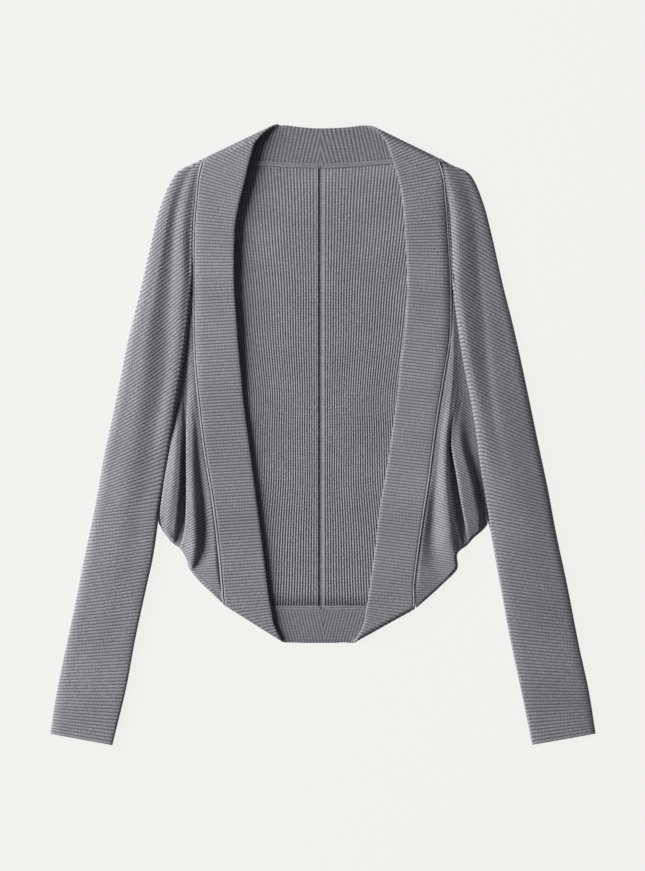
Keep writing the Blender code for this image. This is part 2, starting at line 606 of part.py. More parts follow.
def clear_of_fold(rows, inset):
    """Slides the first row's two ends along the band's edges until they lie inset from the fold.

    The fold is the line of the first row. Gives the new rows and the fold's outward direction.
    """
    dense = smooth(rows)
    fold = dense[0]
    outward = turned_left((fold[2:4] - fold[0:2])[None])[0]
    if (dense[-1, 0:2] - fold[0:2]) @ outward > 0:
        outward = -outward
    place = np.arange(len(dense))
    moved = dense.copy()
    for first in (0, 2):
        depth = (fold[0:2] - dense[:, first:first + 2]) @ outward
        start = np.interp(inset, np.maximum.accumulate(depth), place)
        wanted = start + (place[-1] - start) * place / place[-1]
        for index in (first, first + 1):
            moved[:, index] = np.interp(wanted, place, dense[:, index])
    return moved, outward


def turn(first, last, outward, roll):
    """The stations of a half turn between two end rows that lie one above the other."""
    stations = []
    for degrees in ROLL_TURNS:
        angle = np.radians(degrees)
        row = blend(first, last, degrees / 180.0)
        row[0:2] += outward * roll * np.sin(angle)
        row[2:4] += outward * roll * np.sin(angle)
        row[4:6] = blend(last[4:6], first[4:6], (1 + np.cos(angle)) / 2)
        stations.append(row)
    return np.array(stations)


def band_stations(side):
    """All stations of the band, centre-back neck to centre-back hem, and its three stretches' spans."""
    shoulder_inset = SHOULDER_ROLL + BAND / 2
    hem_inset = HEM_ROLL + BAND / 2
    neck, over_shoulder = clear_of_fold(NECK_ROWS[side][::-1], shoulder_inset)
    front, _ = clear_of_fold(FRONT_ROWS[side], shoulder_inset)
    front, round_hem = clear_of_fold(front[::-1], hem_inset)
    hem, _ = clear_of_fold(HEM_ROWS[side], hem_inset)
    runs = [spaced(rows, rows[:, 0:2], rows[:, 2:4]) for rows in (neck[::-1], front[::-1], hem)]
    shoulder = turn(runs[0][-1], runs[1][0], over_shoulder, SHOULDER_ROLL)
    hem_turn = turn(runs[1][-1], runs[2][0], round_hem, HEM_ROLL)
    runs = [runs[0], shoulder, runs[1], hem_turn, runs[2]]
    starts = np.cumsum([0] + [len(run) for run in runs])
    return np.vstack(runs), [(starts[0], starts[1]), (starts[2], starts[3]), (starts[4], starts[5])]


def band(side):
    """The doubled band: one strip, inside the neck, over the shoulder, down the front, under the hem."""
    stations, (neck, front, hem) = band_stations(side)
    free = np.column_stack([stations[:, 0:2], stations[:, 4]])[:, None, :]
    seam = np.column_stack([stations[:, 2:4], stations[:, 5]])[:, None, :]
    middle = blend(free, seam, np.array(BAND_STEPS)[None, :, None])
    count, steps = middle.shape[:2]
    front_rise = np.zeros((count, steps))
    reverse_rise = np.zeros((count, steps))
    front_rise[front[0] + 2:front[1] - 2] = ribs(front[1] - front[0] - 4)[:, None]
    for start, end in ((neck[0], neck[1] - 2), (hem[0] + 2, hem[1])):
        reverse_rise[start:end] = ribs(end - start)[:, None]
        reverse_rise[start:end, ALLOWANCE_STEP:] = ALLOWANCE_RISE
    sparse = set(plain_run(count, PLAIN_STATIONS))
    turns = set(range(neck[1] - 2, front[0] + 2)) | set(range(front[1] - 2, hem[0] + 2))
    front_run = sorted(sparse | turns | set(range(*front)))
    reverse_run = sorted(sparse | turns | set(range(*neck)) | set(range(*hem)))
    front_runs = [front_run, front_run, None, None, front_run]
    reverse_runs = [reverse_run] * steps
    top = ((front[0] + front[1]) // 2, 1)
    return wall(
        "band", side, middle, BAND / 2, top, (front_rise, front_runs), (reverse_rise, reverse_runs),
        BAND_COLOUR,
    )


def seam_out(side, up):
    """How far out the band's front seam lies at each level."""
    front = smooth(FRONT_ROWS[side])[::-1]
    return np.interp(up, front[:, 3], front[:, 2])


def seam_high(side, up):
    front = smooth(FRONT_ROWS[side])[::-1]
    return np.interp(up, front[:, 3], front[:, 5])


def sleeve_rows(side):
    """The sleeve's stations, evenly spaced square to the ribs, with the inner ends on the band's seam."""
    dense = smooth(SLEEVE_ROWS[side])
    inner = columns(dense, SleeveRow, "inner_out", "inner_up")
    outer = columns(dense, SleeveRow, "outer_out", "outer_up")
    rows = spaced(dense, inner, outer)
    curl = np.clip(columns(rows, SleeveRow, "curl")[:, 0], 0.0, 1.0)
    rows[:, 0] = blend(seam_out(side, rows[:, 1]), rows[:, 0], curl)
    return rows


def edge_curl(edge, inward, high, end_high, curled, angles):
    """Columns along an edge: flat beside a seam, or curled from its own height to the end height."""
    depth = np.minimum(np.abs(high - end_high), CURL_DEPTH)
    steps = []
    for degrees in angles:
        angle = np.radians(degrees)
        flat_in = SEAM_GAP + SEAM_FLAT * (1 - degrees / 90.0)
        curled_in = KNIT / 2 + depth * (1 - np.sin(angle))
        place = edge + inward * blend(flat_in, curled_in, curled)
        steps.append(np.hstack([place, high + (end_high - high) * curled * (1 - np.cos(angle))]))
    return steps


def sleeve(side):
    """The sleeve: a strip wrapped round from the band's seam, over the arm and under to the back."""
    rows = sleeve_rows(side)
    half = KNIT / 2
    inner = columns(rows, SleeveRow, "inner_out", "inner_up")
    bow = columns(rows, SleeveRow, "bow_out", "bow_up")
    outer = columns(rows, SleeveRow, "outer_out", "outer_up")
    under = columns(rows, SleeveRow, "back_out", "back_up")
    edge_high, ridge_high, valley_high, crown_high = [
        columns(rows, SleeveRow, name) for name in ("edge_high", "ridge_high", "valley_high", "crown_high")
    ]
    curl = np.clip(columns(rows, SleeveRow, "curl"), 0.0, 1.0)
    tuck = np.clip(columns(rows, SleeveRow, "tuck"), 0.0, 1.0)
    into_top = turned_left(np.gradient(inner, axis=0))
    into_under = turned_left(np.gradient(under, axis=0))
    outward = turned_left(np.gradient(outer, axis=0))
    seam_level = (edge_high + half) / 2
    length = np.linalg.norm(outer - inner, axis=1, keepdims=True)

    over_side = np.maximum(seam_level, OVER_SIDE_HIGH)
    curl_end = np.minimum(blend(over_side, seam_level + UNDERARM_SLIT, tuck), edge_high)
    steps = edge_curl(inner, into_top, edge_high, curl_end, curl, (90.0, 45.0))
    curl_depth = np.minimum(edge_high - curl_end, CURL_DEPTH)
    flat_in = SEAM_GAP + np.minimum(SEAM_FLAT, length / 4)
    start = inner + into_top * blend(flat_in, half + curl_depth, curl)
    fold_rise = (crown_high - FOLD_DROP - half) / 2
    fold_depth = np.minimum(fold_rise, length / 5)
    fold = outer - outward * (fold_depth + half)
    for share, high in zip(TOP_SHARES, (edge_high, ridge_high, valley_high, crown_high)):
        place = (1 - share) ** 2 * start + 2 * share * (1 - share) * bow + share**2 * fold
        steps.append(np.hstack([place, high]))
    for degrees in (0.0, 45.0, 90.0, 135.0, 180.0):
        angle = np.radians(degrees)
        place = fold + outward * fold_depth * np.sin(angle)
        steps.append(np.hstack([place, half + fold_rise * (1 + np.cos(angle))]))
    tucks = edge_curl(
        under, into_under, np.full_like(tuck, half), np.maximum(seam_level - UNDERARM_SLIT, half), tuck,
        (0.0, 45.0, 90.0),
    )
    steps += [blend(steps[-1], tucks[0], 0.5)] + tucks

    middle = np.stack(steps, axis=1)
    count, step_count = middle.shape[:2]
    rise = np.zeros((count, step_count))
    rise[:, RIBBED_STEPS] = ribs(count)[:, None]
    shoulder = set(range(SHOULDER_STATIONS)) | set(range(SHOULDER_STATIONS, 3 * SHOULDER_STATIONS, 2))
    plain = sorted(set(plain_run(count, PLAIN_STATIONS)) | shoulder)
    coarse = [plain] * step_count
    face_runs = list(coarse)
    face_runs[RIBBED_STEPS] = [list(range(count))] * len(face_runs[RIBBED_STEPS])
    reverse_runs = list(coarse)
    for runs, dropped in ((face_runs, FACE_DROPPED), (reverse_runs, REVERSE_DROPPED)):
        for step in dropped:
            runs[step] = None
    top = (count // 2, 4)
    plain_rise = np.zeros_like(rise)
    return wall(
        "sleeve", side, middle, half, top, (rise, face_runs), (plain_rise, reverse_runs), KNIT_COLOUR
    )


def fold_lines(side):
    """The draped side's fold lines from the band's seam outwards, each a dense run from low to high."""
    return [smooth(points)[::-1] for points in FOLD_LINES[side].values()]


def fold_height(side, place, seam):
    """How high the draped side lies at each point, read straight across its fold lines."""
    out, up = place.T
    lines = fold_lines(side)
    outs = [seam] + [np.interp(up, line[:, 1], line[:, 0]) for line in lines]
    highs = [seam_high(side, up) - SEAM_DROP] + [np.interp(up, line[:, 1], line[:, 2]) for line in lines]
    outs.append(outs[-1] + RIM_WIDTH)
    highs.append(np.full_like(up, HIDDEN_HIGH))
    high = highs[0]
    for first, second, low, top in zip(outs, outs[1:], highs, highs[1:]):
        share = np.clip((out - first) / np.maximum(second - first, MIN_STEP), 0.0, 1.0)
        share = share * share * (3 - 2 * share)
        high = np.where(out > first, blend(low, top, share), high)
    return high


def nearest_on_edge(edge, points):
    """The edge's own rows nearest to the given points."""
    gaps = np.linalg.norm(edge[None, :, 0:2] - points[:, None, :], axis=2)
    return edge[np.argmin(gaps, axis=1)]


def fold_crossings(side, path, share, room):
    """For each rib, the shares of its length at which it crosses the fold lines, well apart."""
    crossings = [np.zeros(path.shape[1])]
    for line in fold_lines(side):
        beyond = path[..., 0] >= np.interp(path[..., 1], line[:, 1], line[:, 0])
        first = np.where(beyond.any(axis=0), beyond.argmax(axis=0), len(share) - 1)
        crossings.append(share[first])
    crossings = np.array(crossings + [np.ones(path.shape[1])])
    apart = np.minimum(MIN_STEP / room, 0.95 / (len(crossings) - 1))
    for index in range(1, len(crossings) - 1):
        crossings[index] = np.maximum(crossings[index], crossings[index - 1] + apart)
    for index in range(len(crossings) - 2, 0, -1):
        crossings[index] = np.minimum(crossings[index], crossings[index + 1] - apart)
    return crossings


def draped_side(side):
    """The draped front side: from the band's seam over its folds to the lower side, and turned under."""
    dense = smooth(SIDE_ROWS[side])
    seam = np.column_stack([seam_out(side, dense[:, 0]) + SEAM_GAP, dense[:, 0]])
    rows = spaced(np.hstack([dense, seam]), seam, columns(dense, SideRow, "end_out", "end_up"))
    bow = columns(rows, SideRow, "bow_out", "bow_up")
    seam = rows[:, -2:]
    half = KNIT / 2
    ends = nearest_on_edge(smooth(SIDE_EDGE[side], 40), columns(rows, SideRow, "end_out", "end_up"))
    ends[:, 0:2] = (ends[:, 0:2] + columns(rows, SideRow, "end_out", "end_up")) / 2
    ends[1:-1] = (ends[:-2] + 2 * ends[1:-1] + ends[2:]) / 4
    inward = turned_left(np.gradient(ends[:, 0:2], axis=0))
    inward = np.where(np.sum(inward * (seam - ends[:, 0:2]), axis=1)[:, None] < 0, -inward, inward)
    turned = np.clip(ends[:, 3:4], 0.0, 1.0)
    room = np.linalg.norm(ends[:, 0:2] - seam, axis=1, keepdims=True)
    depth = np.minimum(RIM_ROLL, room * RIM_SHARE)
    rim = ends[:, 0:2] + inward * (half + depth) * turned

    share = np.linspace(0.0, 1.0, 201)
    along = share[:, None, None]
    path = (1 - along) ** 2 * seam + 2 * along * (1 - along) * bow + along**2 * rim
    steps = []
    for cross in fold_crossings(side, path, share, room[:, 0]):
        cross = cross[:, None]
        place = (1 - cross) ** 2 * seam + 2 * cross * (1 - cross) * bow + cross**2 * rim
        steps.append(np.hstack([place, fold_height(side, place, seam[:, 0])[:, None]]))
    steps[-1][:, 2:3] = np.minimum(steps[-1][:, 2:3], ends[:, 2:3])
    rim_high = steps[-1][:, 2:3]
    rise = (rim_high - half) / 2
    for degrees in (60.0, 120.0, 180.0):
        angle = np.radians(degrees) * turned
        beyond = depth * np.sin(angle) + HIDDEN_REACH * (1 - turned) * degrees / 180.0
        steps.append(np.hstack([rim - inward * beyond, half + rise * (1 + np.cos(angle))]))

    middle = np.stack(steps, axis=1)
    count, step_count = middle.shape[:2]
    rise = np.zeros((count, step_count))
    rise[:] = ribs(count)[:, None]
    rise[:, PLAIN_FOLD_STEPS] = 0.0
    rise[turned[:, 0] < 0.5, CREST_STEPS[-1]:] = 0.0
    rise[:TOP_STATIONS] = 0.0
    everywhere = list(range(count))
    turning = set(np.flatnonzero((turned[:, 0] > 0) & (turned[:, 0] < 1)))
    plain = sorted(set(plain_run(count, 2)) | turning | set(everywhere[-LOWER_STATIONS:]))
    face_runs = [everywhere] * step_count
    reverse_runs = [plain] * step_count
    for step in PLAIN_FOLD_STEPS:
        face_runs[step] = plain
    for step in CREST_STEPS:
        reverse_runs[step] = None
    plain_rise = np.zeros_like(rise)
    return wall(
        "side", side, middle, half, (count // 2, 2), (rise, face_runs), (plain_rise, reverse_runs),
        KNIT_COLOUR, upright=0,
    )


def back_reach(side):
    """How far out the half back goes at each level: to the armhole line, then inside the lower side."""
    rows = sleeve_rows(side)
    arm = columns(rows, SleeveRow, "back_out", "back_up")
    lower = smooth([point for point in SIDE_EDGE[side] if point.roll == 1])[:, 0:2]
    inward = turned_left(np.gradient(lower, axis=0))
    inward = np.where(inward[:, 0:1] > 0, -inward, inward)
    lower = lower + inward * HIDDEN_INSET
    lower = lower[lower[:, 1] > LOWER_SIDE_END]
    arm = arm[arm[:, 1] > lower[:, 1].max() + ARM_CLEARANCE] - [SEAM_GAP, 0.0]
    line = np.vstack([arm, lower, [HEM_CORNER]])
    return line[np.argsort(line[:, 1])]


def back(side):
    """The half back: a flat panel with upright ribs that close in towards the waist."""
    neck = smooth(NECK_ROWS[side])
    hem = smooth(HEM_ROWS[side])[::-1]
    reach = back_reach(side)
    levels = np.array(BACK_LEVELS)
    ups = np.linspace(300.0, -200.0, 1001)
    rib_share = np.interp(ups, levels[:, 0], levels[:, 1])
    centre = SEAM_GAP / 2 - SIDES[side] * np.interp(ups, levels[:, 0], levels[:, 2])
    reach_out = np.interp(ups, reach[:, 1], reach[:, 0])
    lines = []
    while True:
        out = centre + len(lines) * RIB_SPACING / 2 * rib_share
        below_neck = ups < np.interp(out, neck[:, 2], neck[:, 3]) - SEAM_GAP
        above_hem = ups > np.interp(out, hem[:, 2], hem[:, 3]) + SEAM_GAP
        inside = np.flatnonzero(below_neck & above_hem & (out < reach_out))
        if len(inside) < SHORTEST_RIB:
            break
        up = np.linspace(ups[inside[0]], ups[inside[-1]], RIB_POINTS)
        lines.append(np.column_stack([np.interp(-up, -ups, out), up, np.full(RIB_POINTS, KNIT / 2)]))
    middle = np.stack(lines)
    count = len(lines)
    rise = np.repeat(ribs(count)[:, None], RIB_POINTS, axis=1)
    rise[0] = 0.0
    if side == "right":
        rise[:ALLOWANCE_RIBS] = ALLOWANCE_RISE
    face_runs = [list(range(count))] * RIB_POINTS
    reverse_runs = [plain_run(count, PLAIN_STATIONS)] * RIB_POINTS
    plain_rise = np.zeros_like(rise)
    return wall(
        "back", side, middle, KNIT / 2, (count // 2, RIB_POINTS // 2), (rise, face_runs),
        (plain_rise, reverse_runs), KNIT_COLOUR,
    )


def clear_scene():
    for old in list(bpy.data.objects):
        bpy.data.objects.remove(old, do_unlink=True)


def centre_on_table(pieces):
    """Moves the whole garment so that the middle of its outline is over the origin."""
    points = np.array([vertex.co for piece in pieces for vertex in piece.data.vertices])
    middle = (points.min(axis=0) + points.max(axis=0)) / 2
    for piece in pieces:
        piece.data.transform(Matrix.Translation((-middle[0], -middle[1], 0.0)))


clear_scene()
bpy.context.scene.collection.children.link(bpy.data.collections.new(COLLECTION))
halves = [make(half) for half in SIDES for make in (band, sleeve, draped_side, back)]
centre_on_table(halves)
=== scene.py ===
"""A knitted shrug laid flat on its back on a pale table, seen from straight above.

Left and right are the wearer's. Tables are in millimetres: "out" is measured from the centre line
towards a cuff, "up" towards the collar and "high" above the table.
"""

import math
from collections import namedtuple

import bmesh
import bpy
import numpy as np
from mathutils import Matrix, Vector


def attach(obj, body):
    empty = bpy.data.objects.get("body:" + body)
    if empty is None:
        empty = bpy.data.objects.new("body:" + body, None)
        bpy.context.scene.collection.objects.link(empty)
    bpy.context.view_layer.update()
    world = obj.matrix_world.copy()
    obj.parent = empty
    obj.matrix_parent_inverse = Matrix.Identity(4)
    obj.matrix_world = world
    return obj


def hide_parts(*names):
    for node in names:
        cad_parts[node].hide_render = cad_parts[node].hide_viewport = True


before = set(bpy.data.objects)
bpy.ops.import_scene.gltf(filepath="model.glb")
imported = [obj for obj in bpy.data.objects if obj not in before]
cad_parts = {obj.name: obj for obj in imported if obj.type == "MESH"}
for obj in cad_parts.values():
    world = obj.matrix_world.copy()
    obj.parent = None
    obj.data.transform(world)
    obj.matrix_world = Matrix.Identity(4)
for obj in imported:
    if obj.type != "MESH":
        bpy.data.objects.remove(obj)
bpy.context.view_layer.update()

# ----------------------------------------
# The table it lies on: a wide pale board, lit from below like a light table, so that the cloth
# throws next to no shadow on it.


def linear(code):
    """An sRGB hex colour as linear RGBA."""
    parts = [int(code[index:index + 2], 16) / 255 for index in (0, 2, 4)]
    linear_parts = [
        part / 12.92 if part <= 0.04045 else ((part + 0.055) / 1.055) ** 2.4 for part in parts
    ]
    return linear_parts + [1.0]


def placed(name, data):
    """A new object in the scene, at the origin."""
    thing = bpy.data.objects.new(name, data)
    bpy.context.scene.collection.objects.link(thing)
    return thing


def surface(name, sockets):
    """A new material, with the sockets of its shader that are the same all over."""
    material = bpy.data.materials.new(name)
    material.use_nodes = True
    shader = material.node_tree.nodes["Principled BSDF"]
    for socket, value in sockets.items():
        shader.inputs[socket].default_value = value
    return material


TABLE_HALF = 3.0  # metres
TABLE_GLOW = 0.97

board = bmesh.new()
bmesh.ops.create_grid(board, x_segments=1, y_segments=1, size=TABLE_HALF)
table_mesh = bpy.data.meshes.new("light_table")
board.to_mesh(table_mesh)
board.free()
# opal glass: milky, without a shine, and glowing evenly from the lamps below it
opal_glass = surface("opal_glass", {
    "Base Color": linear("1C1C1C"), "Roughness": 0.9,
    "Emission Color": linear("F2F1EF"), "Emission Strength": TABLE_GLOW,
})
table_mesh.materials.append(opal_glass)
placed("light_table", table_mesh)

# ----------------------------------------
# The half backs: fine rib knit with upright ribs that close in towards the waist. The two halves
# are sewn at the centre back, and the turned seam edge lies on the right half as a flat strip.

MM = 0.001
CENTRING = (-0.5, 1.15)  # brings the middle of the outline over the origin
SIDES = {"right": -1, "left": 1}  # which way is out
KNIT = 2.0  # thickness of the single knit
RIB_ROWS = 5  # rows of faces to one rib
RIB_SHAPE = 0.6  # under 1: round crests and narrow grooves


def named(kind, tables):
    """Tables of plain rows, with their columns named."""
    return {title: [kind(*row) for row in rows] for title, rows in tables.items()}


def smooth(rows, parts=12):
    """A dense run of rows on a smooth curve through the given ones."""
    given = np.array(rows, dtype=float)
    ends = np.vstack([2 * given[0] - given[1], given, 2 * given[-1] - given[-2]])
    share = np.linspace(0.0, 1.0, parts, endpoint=False)[:, None]
    runs = []
    for a, b, c, d in zip(ends, ends[1:], ends[2:], ends[3:]):
        bend = (2 * a - 5 * b + 4 * c - d) * share**2 + (3 * b - a - 3 * c + d) * share**3
        runs.append(0.5 * (2 * b + (c - a) * share + bend))
    return np.vstack(runs + [given[-1:]])


def rib_round(count):
    """How far each row of faces stands out, from a groove at 0 to a rib's crest at 1."""
    return (0.5 - 0.5 * np.cos(2 * np.pi * count)) ** RIB_SHAPE


def lengths(vectors):
    return np.linalg.norm(vectors, axis=-1, keepdims=True)


def unit(vectors):
    return vectors / np.maximum(lengths(vectors), 1e-9)


def knit_cloth(
    name, side, middle, half, face_rise, rib_count, finish,
    back_rise=0.0, smoothness=0.0, reverse=0.0,
):
    """A closed sheet of knit round a middle surface of rows x columns points (out, up, high).

    One grid is extruded to two skins, and each skin's points are set off the middle by half the
    thickness and their rise. It keeps the count of ribs, the length along them in millimetres and
    the smoothness, 1 where no ribs show, as the attributes "rib", "along" and "smoothness", and as
    "reverse" where the knit shows its other side.
    """
    rows, cols = middle.shape[:2]
    across = unit(np.cross(np.gradient(middle, axis=0), np.gradient(middle, axis=1)))
    if across[rows // 2, cols // 2, 2] < 0:
        across = -across
    half = np.broadcast_to(half, (rows, cols))
    skins = np.stack([
        middle + across * (half + face_rise)[..., None],
        middle - across * (half + back_rise)[..., None],
    ])
    skins[..., 2] = np.maximum(skins[..., 2], 0.0)
    skins[..., 0] = skins[..., 0] * SIDES[side] + CENTRING[0]
    skins[..., 1] += CENTRING[1]
    along = np.cumsum(lengths(np.diff(middle, axis=1, prepend=middle[:, :1]))[..., 0], axis=1)

    shell = bmesh.new()
    bmesh.ops.create_grid(shell, x_segments=cols - 1, y_segments=rows - 1, size=1.0)
    grown = bmesh.ops.extrude_face_region(shell, geom=shell.faces[:], use_keep_orig=True)
    grown_points = {part for part in grown["geom"] if isinstance(part, bmesh.types.BMVert)}
    places = []
    for point in shell.verts:
        column = round((point.co.x + 1) / 2 * (cols - 1))
        row = round((point.co.y + 1) / 2 * (rows - 1))
        places.append((int(point in grown_points), row, column))
    skin, row, column = np.array(places).T
    for point, spot in zip(shell.verts, skins[skin, row, column] * MM):
        point.co = spot
    bmesh.ops.recalc_face_normals(shell, faces=shell.faces)
    mesh = bpy.data.meshes.new(name)
    shell.to_mesh(mesh)
    shell.free()
    kinds = {"rib": rib_count, "along": along, "smoothness": smoothness, "reverse": reverse}
    for title, values in kinds.items():
        kept = mesh.attributes.new(title, "FLOAT", "POINT")
        values = np.broadcast_to(values, (rows, cols))[row, column]
        kept.data.foreach_set("value", values.astype(np.float32))
    mesh.shade_smooth()
    mesh.materials.append(finish)
    return placed(name, mesh)


def add(tree, kind, settings=None, out=0, **links):
    """Adds a shader node with its settings and gives one of its outputs.

    A link is an input's name or number, and the socket or value that goes into it.
    """
    made = tree.nodes.new("ShaderNode" + kind)
    for name, value in (settings or {}).items():
        setattr(made, name, value)
    for name, value in links.items():
        numbered = name.startswith("in_")
        place = made.inputs[int(name[3:]) if numbered else name.replace("_", " ")]
        if isinstance(value, bpy.types.NodeSocket):
            tree.links.new(value, place)
        else:
            place.default_value = value
    return made.outputs[out]


PATTERN_RIB = 3.5  # millimetres from rib to rib, for the yarn's pattern
COURSE = 3.4  # millimetres from one line of stitches to the next, as wide as it needs to show
COURSE_SHOWS = 0.09  # how much lighter and darker the lines of stitches are
PATCH_SHOWS = 0.05  # and the patches of uneven tension
COURSE_DRIFT = 9.0  # millimetres by which those lines swing, slowly
COURSE_LOOSE = 2.2  # and from stitch to stitch
INSIDE_DARKER = 0.2  # how much darker the band's layers inside the neck and hem are drawn


def rib_knit(name, light, groove_shade_colour, heather):
    """Rib knit of mixed grey yarn, soft and matt with a little nap.

    The grooves are darker with painted shade, the crests lighter and broken up stitch by stitch,
    and the yarn's own mix of greys shows as fine flecks along the ribs.
    """
    material = surface(name, {
        "Roughness": 0.92, "Specular IOR Level": 0.25, "Sheen Weight": 0.12, "Sheen Roughness": 0.5
    })
    tree = material.node_tree
    shader = tree.nodes["Principled BSDF"]
    times, times_plus = {"operation": "MULTIPLY"}, {"operation": "MULTIPLY_ADD"}
    flat = {"noise_dimensions": "2D"}
    rib, along, plain, reverse = [
        add(tree, "Attribute", {"attribute_name": title}, out="Fac")
        for title in ("rib", "along", "smoothness", "reverse")
    ]
    across = add(tree, "Math", times, in_0=rib, in_1=PATTERN_RIB)
    cloth = add(tree, "CombineXYZ", X=across, Y=along)

    # painted shade in the groove between two ribs, 1 at its bottom
    turn = add(tree, "Math", times, in_0=rib, in_1=2 * math.pi)
    wave = add(tree, "Math", {"operation": "COSINE"}, in_0=turn)
    groove = add(
        tree, "MapRange", {"interpolation_type": "SMOOTHSTEP"},
        Value=wave, From_Min=-0.3, From_Max=1.0, To_Min=0.0, To_Max=1.0,
    )
    ribbed = add(tree, "Math", {"operation": "SUBTRACT"}, in_0=1.0, in_1=plain)
    groove = add(tree, "Math", times, in_0=groove, in_1=ribbed)
    # the crests take the yarn's own colour, the grooves a darker colour that is painted shade
    crest_and_groove_shade = {"in_6": linear(light), "in_7": linear(groove_shade_colour)}
    yarn = add(tree, "Mix", {"data_type": "RGBA"}, out=2, in_0=groove, **crest_and_groove_shade)

    # flecks of mixed yarn: about 2 mm across the rib and 4 mm along it
    stretched = add(tree, "VectorMath", times, in_0=cloth, in_1=(0.55, 0.3, 1.0))
    fleck = add(tree, "TexNoise", flat, Vector=stretched, Scale=1.0, Detail=2.0, Roughness=0.6)
    # soft shading from uneven tension: patches of 30 to 60 mm
    patch = add(tree, "TexNoise", flat, Vector=cloth, Scale=0.022, Detail=1.0)
    # courses: the stitches of all ribs lie side by side in lines across them, a little out of true
    drift = add(tree, "Math", times_plus, in_0=patch, in_1=COURSE_DRIFT, in_2=along)
    loose = add(tree, "Math", times_plus, in_0=fleck, in_1=COURSE_LOOSE, in_2=drift)
    lap = add(tree, "Math", times, in_0=loose, in_1=2 * math.pi / COURSE)
    course = add(tree, "Math", {"operation": "SINE"}, in_0=lap)
    # the band's layers inside the neck and hem are drawn darker
    tone = add(tree, "Math", times_plus, in_0=reverse, in_1=-INSIDE_DARKER, in_2=1.0)
    patterns = ((fleck, 0.3, 0.7), (patch, 0.3, 0.7), (course, -1.0, 1.0))
    for (pattern, low, high), shows in zip(patterns, (heather, PATCH_SHOWS, COURSE_SHOWS)):
        shade = add(
            tree, "MapRange", Value=pattern,
            From_Min=low, From_Max=high, To_Min=1.0 - shows, To_Max=1.0 + shows,
        )
        tone = add(tree, "Math", times, in_0=tone, in_1=shade)
    toned = add(tree, "VectorMath", {"operation": "SCALE"}, in_0=yarn, Scale=tone)
    tree.links.new(toned, shader.inputs["Base Color"])

    # the fine pile of single stitches, 1 to 2 mm, drawn as coarse as it needs to show
    stitch = add(tree, "TexNoise", flat, Vector=cloth, Scale=0.8, Detail=3.0, Roughness=0.7)
    bump = add(tree, "Bump", Strength=0.5, Distance=0.0006, Height=stitch)
    tree.links.new(bump, shader.inputs["Normal"])
    return material


# viscose in single rib knit: matt and limp, with clear flecks and painted shade in its grooves
single_knit = rib_knit("rib_knit_viscose", "99989E", "6B6A70", 0.17)

# How far apart its ribs lie at each level.
Level = namedtuple("Level", "up rib_pitch")
BACK_LEVELS = [
    Level(-200, 3.1), Level(-140, 3), Level(-60, 2.72), Level(38, 2.55), Level(150, 3),
    Level(262, 3.5), Level(320, 3.75),
]
# Each half back's edges: along the neckband, and down the armhole and the lower side.
Edge = namedtuple("Edge", "out up")
NECK_EDGE = named(Edge, {
    "right": [(-4, 298.4), (38.5, 300), (74.5, 302.4), (134, 309)],
    "left": [(-4, 298.4), (37.5, 300.4), (71, 303.3), (128, 309.4)],
})
OUTER_EDGE = named(Edge, {"right": [
    (133, 300), (138, 223.5), (143.5, 167.5), (150, 106), (158, 44), (166, -6), (173.5, -45),
    (176.5, -85), (174, -106), (162, -118), (147, -138), (136, -157), (116, -177), (94, -191),
], "left": [
    (129, 300), (134, 223.5), (140, 167.5), (148.5, 106), (158, 44), (167, -6), (174, -45),
    (178, -85), (176, -105), (160, -119), (147, -137), (143, -151), (117, -177), (94, -191),
]})
BACK_TOP, BACK_HEM, BACK_FOOT = 308.0, -192.2, -193.0
BACK_LEVEL_COUNT = 1003  # half a millimetre apart
BACK_POINTS = 30  # along each rib
SHORTEST = 30  # a rib has at least this many of those levels
MOST_RIBS = 80
BACK_RIB_RISE = 0.85  # the ribs stand out more where the cloth is slack
NECK_RIB_SHARE = 0.6  # and less towards the neck, where the band holds it wide
SLACK_LEVELS = (40.0, 290.0)
BACK_UNDER = 0.9  # how far it goes on under the side's seam
# The ribs sway a little: how far, over what length, and shifted by how much.
Sway = namedtuple("Sway", "size length shift")
SWAYS = (Sway(0.5, 41.0, 0.0), Sway(0.35, 17.0, 1.3))
SWAY_RIBS = 6.0  # ribs from the centre seam over which the sway grows
CENTRE_OUT = {"right": -0.6, "left": 0.8}  # where it starts beside the centre line
# The turned seam edge, from its outer edge to the seam: its rise at each share of its width.
STRIP_WIDE = {"right": 6.8, "left": 0.0}
STRIP_ROWS = 15
STRIP_RISE = 2.0  # how far it stands up at its stitching
STRIP_SHARES = (0.0, 0.1, 0.7, 0.84, 0.92, 1.0)
STRIP_RISES = (0.2, 0.0, 0.0, 0.85, 1.0, 0.0)
STRIP_SMOOTH = 0.9
STRIP_COUNTS = (-1.0, -0.001, -0.02)  # its first and last count of ribs, and where ribs show again


